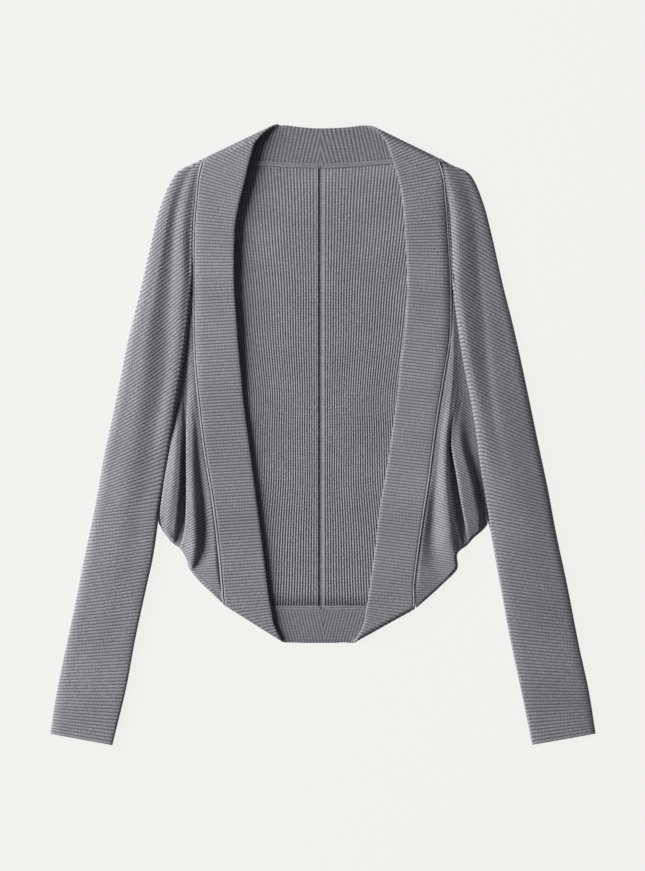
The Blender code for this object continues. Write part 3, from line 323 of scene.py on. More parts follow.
def half_back(side):
    ups = np.linspace(BACK_TOP, BACK_FOOT, BACK_LEVEL_COUNT)
    pitch = np.interp(ups, *np.array(BACK_LEVELS).T)
    neck = smooth(NECK_EDGE[side])
    outer = smooth(OUTER_EDGE[side])[::-1]
    reach = np.interp(ups, outer[:, 1], outer[:, 0]) + BACK_UNDER
    sway = sum(wave.size * np.sin(ups / wave.length + wave.shift) for wave in SWAYS)
    start, strip = CENTRE_OUT[side], STRIP_WIDE[side]
    first, last, ribs_again = STRIP_COUNTS
    lines = []
    if strip:
        for share in np.linspace(0.0, 1.0, STRIP_ROWS):
            lines.append((start + strip * share, 0.0, first + (last - first) * share))
    for row in range(MOST_RIBS * RIB_ROWS):
        lines.append((start + strip, row / RIB_ROWS, row / RIB_ROWS))
    kept, counts = [], []
    for from_centre, ribs, count in lines:
        out = from_centre + ribs * pitch + sway * min(1.0, ribs / SWAY_RIBS)
        below_neck = ups < np.interp(out, neck[:, 0], neck[:, 1])
        inside = np.flatnonzero(below_neck & (ups > BACK_HEM) & (out < reach))
        if len(inside) < SHORTEST:
            break
        up = np.linspace(ups[inside[0]], ups[inside[-1]], BACK_POINTS)
        high = np.full(BACK_POINTS, KNIT / 2)
        kept.append(np.column_stack([np.interp(-up, -ups, out), up, high]))
        counts.append(count)
    middle = np.stack(kept)
    count = np.array(counts)[:, None]
    slack = np.interp(middle[..., 1], SLACK_LEVELS, (1.0, NECK_RIB_SHARE))
    rise = rib_round(count) * BACK_RIB_RISE * slack
    ridge = np.interp(np.clip(1 + count, 0.0, 1.0), STRIP_SHARES, STRIP_RISES)
    rise = np.where(count < 0, STRIP_RISE * ridge, rise)
    smoothness = np.where(count < ribs_again, STRIP_SMOOTH, 0.0)
    return knit_cloth(
        f"half_back_{side}", side, middle, KNIT / 2, rise, count, single_knit, smoothness=smoothness
    )


for side in SIDES:
    piece = half_back(side)
    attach(piece, "root")
    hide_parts(f"back_{side}")

# ----------------------------------------
# The sleeves: each is the shoulder and arm of a half, worked round so that its ribs ring the arm.
# Laid flat it is a soft tube. Its front layer runs from the band's seam over the outer fold, and
# from the underarm down both edges meet in a seam that is out of sight.

# One row for each chosen rib, shoulder to cuff: it runs from its inner end, bowed up or down by so
# much, round the outer fold and under to its back end. Its heights are those of the inner edge, the
# ridge, valley and crown beyond it and the rim of the outer fold, and the last three columns say
# at which shares of the way ridge, valley and crown lie. The curl is 1 where the inner edge rolls
# under, and the tuck 1 where it meets the back layer's edge.
SleeveRow = namedtuple(
    "SleeveRow",
    "inner_out inner_up bow outer_out outer_up back_out back_up edge_high ridge_high valley_high "
    "crown_high rim_high curl tuck ridge_at valley_at crown_at",
)
SLEEVE_ROWS = named(SleeveRow, {"right": [
    (135.6, 306.8, 0, 139.2, 305.4, 134, 302, 7, 7, 6.9, 6.8, 6.8, 0, 0, 0.2, 0.48, 0.82),
    (137.2, 301.2, 0, 150, 301, 134.5, 292, 7.6, 7.6, 7.4, 7.4, 7.4, 0, 0, 0.2, 0.48, 0.82),
    (138.5, 294, 0, 165, 291, 135.5, 268, 8.2, 8.5, 7.8, 8.3, 8.3, 0, 0, 0.2, 0.48, 0.82),
    (141.5, 274, 3, 180.5, 258.5, 138.5, 223.5, 8.2, 9, 7.5, 8.9, 8.9, 0, 0, 0.2, 0.48, 0.82),
    (144.5, 246, 5, 190.5, 220, 144, 167.5, 8.2, 9.6, 7.3, 9.6, 9.6, 0, 0, 0.2, 0.47, 0.82),
    (146, 201, 1, 204, 161, 150.5, 106, 8.4, 10.6, 8, 11, 10.9, 0, 0, 0.16, 0.44, 0.8),
    (148.2, 150.5, -1, 218.5, 101.5, 158.5, 44, 10, 11.6, 9, 12.9, 12.3, 1, 0, 0.12, 0.38, 0.76),
    (155.5, 83.5, -1, 231.5, 36.5, 166.5, -6, 10.9, 11.4, 9.6, 13.4, 12.1, 1, 0, 0.06, 0.27, 0.67),
    (166.5, 16, 0, 244, -21, 174, -45.5, 10.7, 11.2, 10.1, 12.9, 10.9, 1, 0, 0.06, 0.24, 0.61),
    (176.5, -40, 0, 251.7, -64.5, 180, -73.5, 9.2, 9.5, 9.7, 11.6, 9.9, 1, 0, 0.06, 0.24, 0.59),
    (184, -84.5, 0, 257, -92.5, 183.5, -92.5, 8.5, 8.8, 9.2, 10.7, 9.2, 1, 0.3, 0.06, 0.26, 0.58),
    (185.5, -108, 0, 262.5, -118.5, 185.5, -108, 8.1, 8.4, 8.8, 10.1, 8.8, 1, 1, 0.06, 0.26, 0.58),
    (190.5, -140.5, 0, 269.5, -151, 190.5, -140.5, 7.4, 7.8, 8.2, 9, 8.1, 1, 1, 0.06, 0.26, 0.58),
    (196.5, -167.5, 0, 274.6, -178, 196.5, -167.5, 6.7, 7.2, 7.5, 8, 7.3, 1, 1, 0.06, 0.26, 0.58),
    (210, -230, 0, 286.6, -235.5, 210, -230, 6.1, 6.6, 6.7, 7, 6.5, 1, 1, 0.08, 0.3, 0.62),
    (220, -284, 0, 297, -284.5, 220, -284, 5.9, 6.3, 6.4, 6.6, 6.2, 1, 1, 0.08, 0.3, 0.62),
    (235.5, -348, 0, 305, -335, 235.5, -348, 5.8, 6.1, 6, 6.1, 5.9, 1, 1, 0.08, 0.3, 0.62),
], "left": [
    (131.2, 308.6, 0, 134.8, 306.8, 130, 302, 7, 7, 6.8, 6.6, 6.5, 0, 0, 0.2, 0.68, 0.86),
    (131.7, 301.6, 0, 147, 300.8, 130.5, 292, 7.6, 7.8, 7, 6.6, 6.4, 0, 0, 0.2, 0.68, 0.86),
    (134, 293, 0, 166, 290.4, 131, 268, 8.2, 8.8, 7, 6.4, 6.2, 0, 0, 0.2, 0.68, 0.86),
    (137, 272, 4, 180, 259.5, 134.5, 223.5, 8.2, 9.4, 6.7, 6.1, 5.9, 0, 0, 0.2, 0.7, 0.88),
    (140.5, 246, 2, 190, 221.5, 140.5, 167.5, 8.2, 9.6, 6.2, 5.7, 5.6, 0, 0, 0.2, 0.7, 0.88),
    (143, 201, 0, 202.5, 166, 149, 106, 8.6, 10.6, 6.6, 6.4, 6.1, 0, 0, 0.14, 0.6, 0.78),
    (147.8, 150.5, -1.5, 215, 116, 158.5, 44, 10.4, 11.8, 7.8, 8, 7, 1, 0, 0.07, 0.5, 0.67),
    (156.2, 90, 0, 227.5, 58.5, 167.5, -6, 11.8, 12.6, 9.4, 9.8, 8.3, 1, 0, 0.06, 0.37, 0.55),
    (170, 16, 0, 242.3, -13, 174.5, -45.5, 12.2, 12.8, 11.6, 11.9, 9.6, 1, 0, 0.06, 0.3, 0.47),
    (177.5, -40, 0, 252.7, -62, 180, -73.5, 10.6, 11.8, 12.2, 11.6, 9.4, 1, 0, 0.08, 0.34, 0.6),
    (185, -84.5, 0, 259.5, -99, 184.5, -92.5, 9.6, 10.6, 11.2, 10.8, 9, 1, 0.3, 0.08, 0.32, 0.6),
    (188.5, -110.5, 0, 264.3, -123, 188.5, -110.5, 8.8, 9.8, 10.4, 10, 8.5, 1, 1, 0.08, 0.32, 0.6),
    (194, -140.5, 0, 270.5, -151.3, 194, -140.5, 7.7, 8.7, 9.2, 8.8, 7.6, 1, 1, 0.08, 0.32, 0.6),
    (199, -167.5, 0, 275.8, -177, 199, -167.5, 6.8, 7.8, 8, 7.7, 6.8, 1, 1, 0.08, 0.32, 0.6),
    (210.5, -230, 0, 287.4, -236.8, 210.5, -230, 6.1, 6.9, 7, 6.7, 6.1, 1, 1, 0.1, 0.36, 0.64),
    (222, -284, 0, 298, -285.3, 222, -284, 5.9, 6.5, 6.5, 6.3, 5.8, 1, 1, 0.1, 0.36, 0.64),
    (235, -347.5, 0, 306, -335, 235, -347.5, 5.8, 6.2, 6.1, 6, 5.7, 1, 1, 0.1, 0.36, 0.64),
]})
RIB_SPACING = 3.6  # from rib to rib
RIB_RISE = 0.36  # how far a rib stands out of the cloth
EDGE_RIBS = 0.35  # the share of that which is left round a turned edge
SEAM_GAP = 0.15  # between pieces at a seam
SEAM_FLAT = 1.8  # the flat run beside the band's seam
RUN_SHARE = 0.25  # of a short rib, that such a run or the outer fold takes at most
CURL_DEPTH = 4.0  # how far in an edge curls
CURL_STEPS = (90, 65, 40, 20)  # degrees of the inner edge's curl
TUCK_STEPS = (0, 45, 90)  # and of the back layer's edge, up to it
UNDERARM_SLIT = 0.6
OVER_SIDE_HIGH = 7.4  # the curled edge clears the draped side
FOLD_WIDE = 10.0  # how wide the sleeve's top falls away to its outer fold, at most
FOLD_SHARE = 0.24  # of the rib's length beyond the narrowest
NARROWEST = 18.0
NARROW_FOLD = 2.5
DEEP_PART = 5  # the fold's round is at most a fifth of a rib deep
FOLD_STEPS = (12, 24, 36, 48, 60, 70, 80, 90, 120, 150, 180)  # degrees round the outer fold
FOLD_FADE = 2  # columns over which the ribs pull flat before the outer fold
MOST_SLANT = 0.4  # the cosine of the steepest slant at which a rib meets the fold
TOP_COLUMNS = 29  # from the inner edge to the fold
THIRDS = (0.33, 0.67)  # where two more columns lie along the back layer


def columns(rows, kind, *names):
    """The named columns of an array of rows."""
    return rows[:, [kind._fields.index(name) for name in names]]


def points_of(rows, kind, *names):
    """The named points of an array of rows, each out and up."""
    return [columns(rows, kind, f"{name}_out", f"{name}_up") for name in names]


def rib_rows(rows, start, end, spacing=RIB_SPACING):
    """Rows read off a dense run so that the ribs lie evenly, and each row's count of ribs."""
    along_rib = unit(end - start)
    step = np.diff((start + end) / 2, axis=0)
    rib = (along_rib[1:] + along_rib[:-1]) / 2
    square = np.abs(step[:, 0] * rib[:, 1] - step[:, 1] * rib[:, 0])
    spacing = np.broadcast_to(spacing, len(rows))
    passed = np.cumsum(square / ((spacing[1:] + spacing[:-1]) / 2))
    counted = np.concatenate([[0.0], passed])
    ribs = max(1, round(counted[-1]))
    count = np.linspace(0.0, ribs, ribs * RIB_ROWS + 1)
    wanted = count * counted[-1] / ribs
    even = np.column_stack([np.interp(wanted, counted, column) for column in rows.T])
    return even, count[:, None]


def turned_left(vectors):
    """Unit vectors a quarter turn to the left of the given ones, in the plane."""
    return unit(np.column_stack([-vectors[:, 1], vectors[:, 0]]))


def blend(low, high, share):
    return low + (high - low) * share


def eased(share):
    return share * share * (3 - 2 * share)


def bowed(start, bow, end, share):
    """Points along a line from start to end that is pulled towards the bow."""
    return (1 - share) ** 2 * start + 2 * share * (1 - share) * bow + share**2 * end


def eased_out(middle, first, fade):
    """Each column's share of the ribs' height: all of it on top, less round a turned edge."""
    share = np.clip((np.arange(middle.shape[1]) - first + fade) / (2 * fade), 0.0, 1.0)
    return 1 - (1 - EDGE_RIBS) * eased(share)[None, :]


def height_along(share, shares, heights):
    """Heights on one smooth curve through the control heights."""
    slopes = [(heights[1] - heights[0]) / (shares[1] - shares[0])]
    for before, after, low, top in zip(shares, shares[2:], heights, heights[2:]):
        slopes.append((top - low) / (after - before))
    slopes.append((heights[-1] - heights[-2]) / (shares[-1] - shares[-2]))
    high = heights[-1]
    for run in reversed(range(len(shares) - 1)):
        width = shares[run + 1] - shares[run]
        part = np.clip((share - shares[run]) / width, 0.0, 1.0)
        bend = part * (1 - part) * width * (slopes[run] * (1 - part) - slopes[run + 1] * part)
        here = blend(heights[run], heights[run + 1], eased(part)) + bend
        high = np.where(share < shares[run + 1], here, high)
    return high


def edge_curl(edge, inward, high, end_high, curled, angles):
    """Columns along an edge: flat beside a seam, or curled from its height to the end height."""
    depth = np.minimum(np.abs(high - end_high), CURL_DEPTH)
    steps = []
    for degrees in angles:
        angle = np.radians(degrees)
        flat_in = SEAM_GAP + SEAM_FLAT * (1 - degrees / 90.0)
        curled_in = KNIT / 2 + depth * (1 - np.sin(angle))
        place = edge + inward * blend(flat_in, curled_in, curled)
        steps.append(np.hstack([place, high + (end_high - high) * curled * (1 - np.cos(angle))]))
    return steps


# The band's front seam: how far out it lies at each level, and how high.
SeamPoint = namedtuple("SeamPoint", "up out high")
FRONT_SEAM = named(SeamPoint, {"right": [
    (-188, 111.5, 6.5), (-177.5, 112.5, 6.5), (-165, 114, 6.8), (-129.5, 117.5, 7.6),
    (-70, 124.5, 8.6), (-17.5, 133.5, 8.6), (33, 139.5, 8.4), (72, 143.5, 8.2), (115, 145.5, 8),
    (167.5, 146, 8), (221.5, 146, 8), (247, 144.5, 8.2), (267, 142.5, 8.3), (283, 140, 8.4),
    (297, 137, 8.5), (307.5, 135.5, 8.5),
], "left": [
    (-191.5, 104, 6.5), (-178, 103.5, 6.5), (-162, 104.5, 6.8), (-129.5, 109, 7.6), (-81, 116, 8.4),
    (-50, 121, 9), (-12, 126, 9), (31, 132.2, 8.8), (76.5, 139.5, 8.4), (116, 145, 8),
    (145, 146.2, 8), (168.5, 145.4, 8), (218, 142, 8), (250, 140, 8.2), (272, 137, 8.3),
    (285, 134.5, 8.4), (296.5, 132.5, 8.5), (309, 130.8, 8.5),
]})
# How far the cloth sinks in along that seam at each level.
SeamSink = namedtuple("SeamSink", "up sink")
SEAM_SINKS = named(SeamSink, {
    "right": [(-60, 0), (30, 0.6), (120, 1.6), (180, 1.6), (240, 0.8), (300, 0)],
    "left": [(-60, 0), (40, 0.8), (110, 2.2), (170, 2.8), (240, 2.4), (300, 0)],
})


def seam_sink(side, up):
    return np.interp(up, *np.array(SEAM_SINKS[side]).T)


def seam_out(side, up):
    line = smooth(FRONT_SEAM[side])
    return np.interp(up, line[:, 0], line[:, 1])


def seam_high(side, up):
    line = smooth(FRONT_SEAM[side])
    return np.interp(up, line[:, 0], line[:, 2]) - seam_sink(side, up)


def sleeve(side):
    dense = smooth(SLEEVE_ROWS[side])
    rows, count = rib_rows(dense, *points_of(dense, SleeveRow, "inner", "outer"))
    curl, tuck = [np.clip(columns(rows, SleeveRow, name), 0.0, 1.0) for name in ("curl", "tuck")]
    rows[:, 0] = blend(seam_out(side, rows[:, 1]), rows[:, 0], curl[:, 0])
    inner, outer, under = points_of(rows, SleeveRow, "inner", "outer", "back")
    bow = (inner + outer) / 2 + turned_left(outer - inner) * columns(rows, SleeveRow, "bow")
    half = KNIT / 2
    heights = [
        columns(rows, SleeveRow, f"{place}_high")
        for place in ("edge", "ridge", "valley", "crown", "rim")
    ]
    heights[0] = heights[0] - seam_sink(side, inner[:, 1:2]) * (1 - curl)
    edge_high, rim_high = heights[0], heights[-1]
    shares = [columns(rows, SleeveRow, f"{place}_at") for place in ("ridge", "valley", "crown")]
    shares = [np.zeros_like(curl), *shares, np.ones_like(curl)]
    into_top, into_under, outward = [
        turned_left(np.gradient(line, axis=0)) for line in (inner, under, outer)
    ]
    seam_level = (edge_high + half) / 2
    length = lengths(outer - inner)

    over_side = np.maximum(seam_level, OVER_SIDE_HIGH)
    curl_end = np.minimum(blend(over_side, seam_level + UNDERARM_SLIT, tuck), edge_high)
    steps = edge_curl(inner, into_top, edge_high, curl_end, curl, CURL_STEPS)
    curl_depth = np.minimum(edge_high - curl_end, CURL_DEPTH)
    flat_in = SEAM_GAP + np.minimum(SEAM_FLAT, length * RUN_SHARE)
    start = inner + into_top * blend(flat_in, half + curl_depth, curl)
    fold_rise = (rim_high - half) / 2
    rib_way = unit(outer - bow)
    rib_way /= np.maximum(np.sum(rib_way * outward, axis=1, keepdims=True), MOST_SLANT)
    fold_wide = np.clip(FOLD_SHARE * (length - NARROWEST), NARROW_FOLD, FOLD_WIDE)
    fold_wide = np.minimum(fold_wide, length * RUN_SHARE)
    fold_deep = np.minimum(fold_rise, length / DEEP_PART)
    rim = outer - rib_way * half
    fold = rim - rib_way * fold_wide
    for share in np.linspace(0.0, 1.0, TOP_COLUMNS):
        high = height_along(share, shares, heights)
        steps.append(np.hstack([bowed(start, bow, fold, share), high]))
    steps_on_top = len(steps)
    for degrees in FOLD_STEPS:
        angle = np.radians(degrees)
        inset = rib_way * fold_wide if degrees < 90 else outward * fold_deep
        high = half + fold_rise * (1 + np.cos(angle))
        steps.append(np.hstack([rim - inset * (1 - np.sin(angle)), high]))
    tucks = edge_curl(
        under, into_under, np.full_like(tuck, half), np.maximum(seam_level - UNDERARM_SLIT, half),
        tuck, TUCK_STEPS,
    )
    steps += [blend(steps[-1], tucks[0], share) for share in THIRDS] + tucks
    middle = np.stack(steps, axis=1)
    rise = rib_round(count) * RIB_RISE * eased_out(middle, steps_on_top, FOLD_FADE)
    return knit_cloth(f"sleeve_knit_{side}", side, middle, half, rise, count, single_knit)


for side in SIDES:
    piece = sleeve(side)
    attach(piece, "root")
    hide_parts(f"sleeve_{side}")

# ----------------------------------------
# The draped front sides: the rest of each half's front, slack at the underarm, so that it hangs in
# long folds beside the band's seam and turns under along the lower side.

# The fold lines, from the band's seam outwards, each from its top to the lower side: crests and
# lips stand up, floors lie deep between them.
FoldPoint = namedtuple("FoldPoint", "out up high")
FOLD_LINES = {"right": named(FoldPoint, {"hollow": [
    (148, 100, 6), (145.5, 66, 6.8), (143.5, 38, 8), (141, 16, 8), (138.3, -28, 7.2),
    (135.5, -55, 6), (133.8, -73, 4.8), (132.7, -96, 4), (132.7, -112, 4), (134, -129, 4.1),
    (138, -141.5, 4.4), (143.5, -150.5, 5),
], "front_crest": [
    (149, 92, 5.4), (148, 58, 6.6), (146.8, 30, 8.4), (146, 0, 10.8), (145.8, -50, 13.4),
    (144.4, -80, 13.8), (143.2, -105, 13.8), (143.2, -125, 12), (145, -140, 8.8), (147, -150, 6.2),
], "front_lip": [
    (150.6, 88, 4.9), (150, 52, 5.6), (150.6, 30, 7.6), (151, 10, 9.6), (151.3, -17.5, 11.4),
    (151.3, -73.5, 12), (152.2, -98, 11.2), (154, -114, 8.5), (156.3, -126, 6),
], "floor_front": [
    (152.2, 86, 4.6), (151.2, 52, 3.9), (151.3, 30, 3.3), (151.8, -17.5, 3.2), (151.8, -73.5, 3.2),
    (152.9, -101.5, 3.2), (156.4, -116, 3.6), (159.3, -125, 4.1),
], "floor_back": [
    (154, 85, 4.5), (155.6, 47.5, 3.8), (156.8, 16, 3.3), (158.4, -17.5, 3.2), (159.4, -51, 3.2),
    (161.4, -80, 3.2), (163.4, -105, 3.2), (164.2, -122, 4),
], "back_lip": [
    (155.8, 84, 4.4), (157.4, 47.5, 4.4), (158.2, 16, 6.6), (159.3, -17.5, 11.6),
    (160.4, -51, 13.2), (162.6, -80, 12.8), (165.2, -105, 9.4), (167.3, -120, 6),
], "back_crest": [
    (157.4, 82, 4.4), (159.8, 43, 4.5), (161.6, 16, 6.9), (163.9, -14, 12), (166.5, -51, 14.2),
    (169.3, -80, 13.2), (171.8, -105, 8.8),
], "back_rim": [
    (158.8, 80, 4.4), (161.6, 38.5, 4.5), (164.6, 12, 6.4), (168.8, -14, 9.6), (174.8, -51, 11.4),
    (178.8, -79, 9.8), (180.5, -94, 6.8),
]}), "left": named(FoldPoint, {"hollow": [
    (144.5, 92, 6.8), (140, 60, 7.6), (135.5, 27, 8.2), (130.5, -10, 8.6), (127, -51, 8),
    (124.3, -73.4, 6.2), (122.8, -96, 4.2), (122.2, -118, 4), (124.5, -140.6, 4.3),
    (129.5, -156, 5),
], "front_crest": [
    (146.5, 86, 7.2), (145.4, 60, 8.2), (142.2, 27.5, 10), (138, -6, 12), (137.4, -51, 13.4),
    (139.2, -75, 13.8), (140.8, -96, 13.8), (142.8, -118, 11.6), (146.5, -135, 8.4),
    (150, -146, 6.2),
], "front_lip": [
    (149.2, 84, 6.4), (147.4, 56, 7.4), (143.8, 22, 9.6), (140.6, -6, 10.8), (141.2, -43, 11.8),
    (144, -69, 12), (148, -94, 11.2), (152.4, -112, 8), (155.3, -124, 5.6),
], "floor_front": [
    (150.6, 82, 5.9), (149.8, 54, 6.7), (145.2, 20, 9), (141.5, -8, 5), (142.4, -30, 3.2),
    (146.6, -69, 3.2), (151, -94, 3.2), (156, -114, 3.6), (158.3, -124, 4.1),
], "floor_back": [
    (152, 80, 5.6), (151.6, 52, 6.1), (146.4, 21, 8.6), (143.8, -4, 5), (146.8, -26, 3.2),
    (150, -43, 3.2), (154.4, -69, 3.2), (159.2, -94, 3.2), (162.4, -114, 3.6), (163.6, -123, 4.1),
], "back_lip": [
    (153.4, 78, 5.3), (153.2, 48.5, 5.7), (147.8, 22, 8.3), (144.8, -4, 9.2), (147.6, -26, 12),
    (150.8, -43, 13.2), (155, -69, 13.4), (159.8, -94, 11.8), (163.3, -114, 8), (165, -121.5, 6),
], "back_crest": [
    (155.2, 76, 4.9), (156.6, 45.5, 5.1), (151.6, 18, 7.4), (154, -10, 10.2), (159.5, -30, 12.2),
    (165, -48, 12.6), (170, -69, 12.4), (174, -94, 10.8), (172.5, -112, 7.6),
], "back_rim": [
    (158, 74, 4.6), (161.5, 45.5, 4.4), (163, 12, 4.7), (163.5, -14, 4.6), (170, -45, 4),
    (174.6, -69, 4), (178.6, -87, 4.2), (180.5, -98, 4.8),
]})}
# The outer edge: hidden under the sleeve (roll 0), then turned under to the back (roll 1).
EdgePoint = namedtuple("EdgePoint", "out up high roll", defaults=(1,))
SIDE_EDGE = named(EdgePoint, {"right": [
    (153.5, 153.5, 4.4, 0), (157, 128, 4.4, 0), (160, 92, 4.4, 0), (166, 38.5, 4.4, 0),
    (174.5, -17.5, 4.4, 0), (179.5, -51, 4.4, 0), (181.5, -79, 4.4, 0), (182, -96, 4.6, 0.3),
    (182, -106, 5.5), (178.5, -111, 6), (173.5, -114.5, 7), (167, -122.5, 5.4), (161, -125, 4.6),
    (157, -129, 5.6), (152, -141, 6.4), (149, -151, 5.8), (140, -162, 5.6), (126.5, -175.2, 5.8),
    (117.5, -184, 6), (112, -188.8, 6.2),
], "left": [
    (153.5, 153.5, 4.4, 0), (157, 122, 4.4, 0), (162, 92, 4.4, 0), (167, 38.5, 4.4, 0),
    (174, -6, 4.4, 0), (178.5, -45.5, 4.4, 0), (181, -69, 4.4, 0), (182.5, -87, 4.4, 0),
    (183.5, -97, 4.6, 0.3), (184, -106.5, 5.5), (178, -110.5, 6.5), (169, -115, 7),
    (164, -122, 5.4), (160.5, -125, 4.6), (155.5, -127.5, 5.6), (150.5, -133, 6.4),
    (152, -145, 6.2), (151, -151, 5.8), (145.5, -157.5, 5.6), (123, -178.6, 5.8),
    (113.7, -186.8, 6), (105, -194.4, 6.2),
]})
# Chosen ribs: from the band's seam, through a bow, to the outer edge.
SideRow = namedtuple("SideRow", "seam_up bow_out bow_up end_out end_up")
SIDE_ROWS = named(SideRow, {"right": [
    (156, 149.6, 154.8, 153.5, 153.5), (132, 150, 130, 157, 128), (111.5, 152, 106, 160, 97),
    (78, 153, 71, 164, 62), (44, 154.5, 33.5, 169, 20.6), (10.5, 155, -4.5, 175, -21),
    (-19.5, 154, -36.5, 180, -57), (-48.5, 150.5, -64, 182, -88), (-76.5, 145, -87, 174.5, -114),
    (-104, 139.5, -107.5, 165.5, -123.5), (-127.5, 134, -129, 153.5, -137),
    (-144, 130.5, -145, 149.5, -149), (-160.5, 127, -161.3, 140, -162.5),
    (-170.5, 122.5, -171, 131, -171.5), (-178, 118, -178.5, 122.8, -179),
    (-184, 114.7, -184.3, 116.8, -184.6), (-188.2, 112.2, -188.4, 112.8, -188.6),
], "left": [
    (156, 150, 154.8, 153.5, 153.5), (128, 150.5, 126, 157, 122), (106, 151, 100.5, 161, 93),
    (72, 149.5, 65, 166, 54), (38.5, 149.5, 29, 172, 15), (7.5, 149, -3.5, 177.5, -18),
    (-23, 147, -34.5, 181, -52), (-52, 145, -64, 182.8, -82), (-79, 142, -89, 180, -102.7),
    (-107, 131.5, -113, 163, -123.5), (-129.5, 128.5, -131, 150.8, -135),
    (-144.5, 125, -145.5, 151, -150.5), (-161, 120.5, -161.5, 137, -165.3),
    (-172.5, 115.5, -173.2, 127, -175), (-181.5, 111, -182.2, 118, -183),
    (-188.5, 107.2, -189, 110.5, -189.6), (-193.2, 104.8, -193.5, 105.5, -193.8),
]})
SIDE_SPACING = 2.75  # its slack ribs lie closer
SEAM_DROP = 0.4  # how far the side's edge sinks beside the band
EDGE_PARTS = 40  # parts to each run of the outer edge
RIB_PARTS = 201  # points at which each rib is followed over the fold lines
MIN_STEP = 0.8  # its fold lines are kept this far apart
CLOSEST = 0.95  # or on a short rib, share this much of its length evenly
COLUMNS_BETWEEN = 5  # columns of faces between two fold lines
RIM_WIDTH = 2.5  # from its last fold line to the hidden part
HIDDEN_HIGH = 4.2  # how high it lies under the sleeve
HIDDEN_REACH = 1.5  # how far it goes on under the sleeve
RIM_ROLL = 2.2  # radius of the turn along the lower side
RIM_SHARE = 0.3  # that turn is at most this share of a rib's length
RIM_STEPS = (30, 60, 90, 120, 150, 180)  # degrees of that turn
RIM_EVENED = 20  # times that its edge is evened out
RIM_FADE = 5  # columns over which its ribs pull flat before the turn


def fold_lines(side):
    return [smooth(points)[::-1] for points in FOLD_LINES[side].values()]


def fold_height(side, place, seam):
    """How high the draped side lies at each point, read straight across its fold lines."""
    out, up = place[..., 0], place[..., 1]
    outs = [seam]
    highs = [seam_high(side, up) - SEAM_DROP]
    for line in fold_lines(side):
        outs.append(np.interp(up, line[:, 1], line[:, 0]))
        highs.append(np.interp(up, line[:, 1], line[:, 2]))
    outs.append(outs[-1] + RIM_WIDTH)
    highs.append(np.full_like(up, HIDDEN_HIGH))
    high = highs[0]
    for first, second, low, top in zip(outs, outs[1:], highs, highs[1:]):
        share = np.clip((out - first) / np.maximum(second - first, MIN_STEP), 0.0, 1.0)
        high = np.where(out > first, blend(low, top, eased(share)), high)
    return high


def fold_crossings(side, path, share, room):
    """For each rib, the shares of its length at which it crosses the fold lines, well apart."""
    crossings = [np.zeros(path.shape[1])]
    for line in fold_lines(side):
        beyond = path[..., 0] >= np.interp(path[..., 1], line[:, 1], line[:, 0])
        first = np.where(beyond.any(axis=0), beyond.argmax(axis=0), len(share) - 1)
        crossings.append(share[first])
    crossings = np.array(crossings + [np.ones(path.shape[1])])
    apart = np.minimum(MIN_STEP / room, CLOSEST / (len(crossings) - 1))
    for index in range(1, len(crossings) - 1):
        crossings[index] = np.maximum(crossings[index], crossings[index - 1] + apart)
    for index in range(len(crossings) - 2, 0, -1):
        crossings[index] = np.minimum(crossings[index], crossings[index + 1] - apart)
    return crossings


def evened(rows, times):
    """Rows evened out with their neighbours so many times, but for the first and the last."""
    for _ in range(times):
        rows[1:-1] = (rows[:-2] + 2 * rows[1:-1] + rows[2:]) / 4
    return rows


def draped_side(side):
    dense = smooth(SIDE_ROWS[side])
    seam = np.column_stack([seam_out(side, dense[:, 0]) + SEAM_GAP, dense[:, 0]])
    dense_ends = columns(dense, SideRow, "end_out", "end_up")
    rows, count = rib_rows(np.hstack([dense, seam]), seam, dense_ends, SIDE_SPACING)
    bow, ends = points_of(rows, SideRow, "bow", "end")
    seam = rows[:, -2:]
    half = KNIT / 2
    edge = smooth(SIDE_EDGE[side], EDGE_PARTS)
    gaps = lengths(edge[None, :, 0:2] - ends[:, None, :])[..., 0]
    nearest = edge[np.argmin(gaps, axis=1)]
    ends = np.column_stack([(nearest[:, 0:2] + ends) / 2, nearest[:, 2:]])
    ends = evened(ends, RIM_EVENED)
    inward = turned_left(np.gradient(ends[:, 0:2], axis=0))
    outwards = np.sum(inward * (seam - ends[:, 0:2]), axis=1)[:, None] < 0
    inward = unit(evened(np.where(outwards, -inward, inward), RIM_EVENED))
    turned = np.clip(ends[:, 3:4], 0.0, 1.0)
    room = lengths(ends[:, 0:2] - seam)
    depth = np.minimum(RIM_ROLL, room * RIM_SHARE)
    rim = ends[:, 0:2] + inward * (half + depth) * turned

    share = np.linspace(0.0, 1.0, RIB_PARTS)
    path = bowed(seam, bow, rim, share[:, None, None])
    crossings = evened(fold_crossings(side, path, share, room[:, 0]).T, 1).T
    fine = np.vstack([
        blend(low, high, part / COLUMNS_BETWEEN)
        for low, high in zip(crossings, crossings[1:]) for part in range(COLUMNS_BETWEEN)
    ] + [crossings[-1:]])[..., None]
    place = bowed(seam, bow, rim, fine)
    high = fold_height(side, place, seam[:, 0])
    steps = [np.hstack([spot, level[:, None]]) for spot, level in zip(place, high)]
    steps[-1][:, 2:3] = np.minimum(steps[-1][:, 2:3], ends[:, 2:3])
    fall = (steps[-1][:, 2:3] - half) / 2
    steps_on_top = len(steps)
    for degrees in RIM_STEPS:
        angle = np.radians(degrees) * turned
        beyond = depth * np.sin(angle) + HIDDEN_REACH * (1 - turned) * degrees / 180.0
        steps.append(np.hstack([rim - inward * beyond, half + fall * (1 + np.cos(angle))]))
    middle = np.stack(steps, axis=1)
    rise = rib_round(count) * RIB_RISE * eased_out(middle, steps_on_top, RIM_FADE)
    return knit_cloth(f"draped_side_{side}", side, middle, half, rise, count, single_knit)


for side in SIDES:
    piece = draped_side(side)
    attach(piece, "root")
    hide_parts(f"side_{side}")

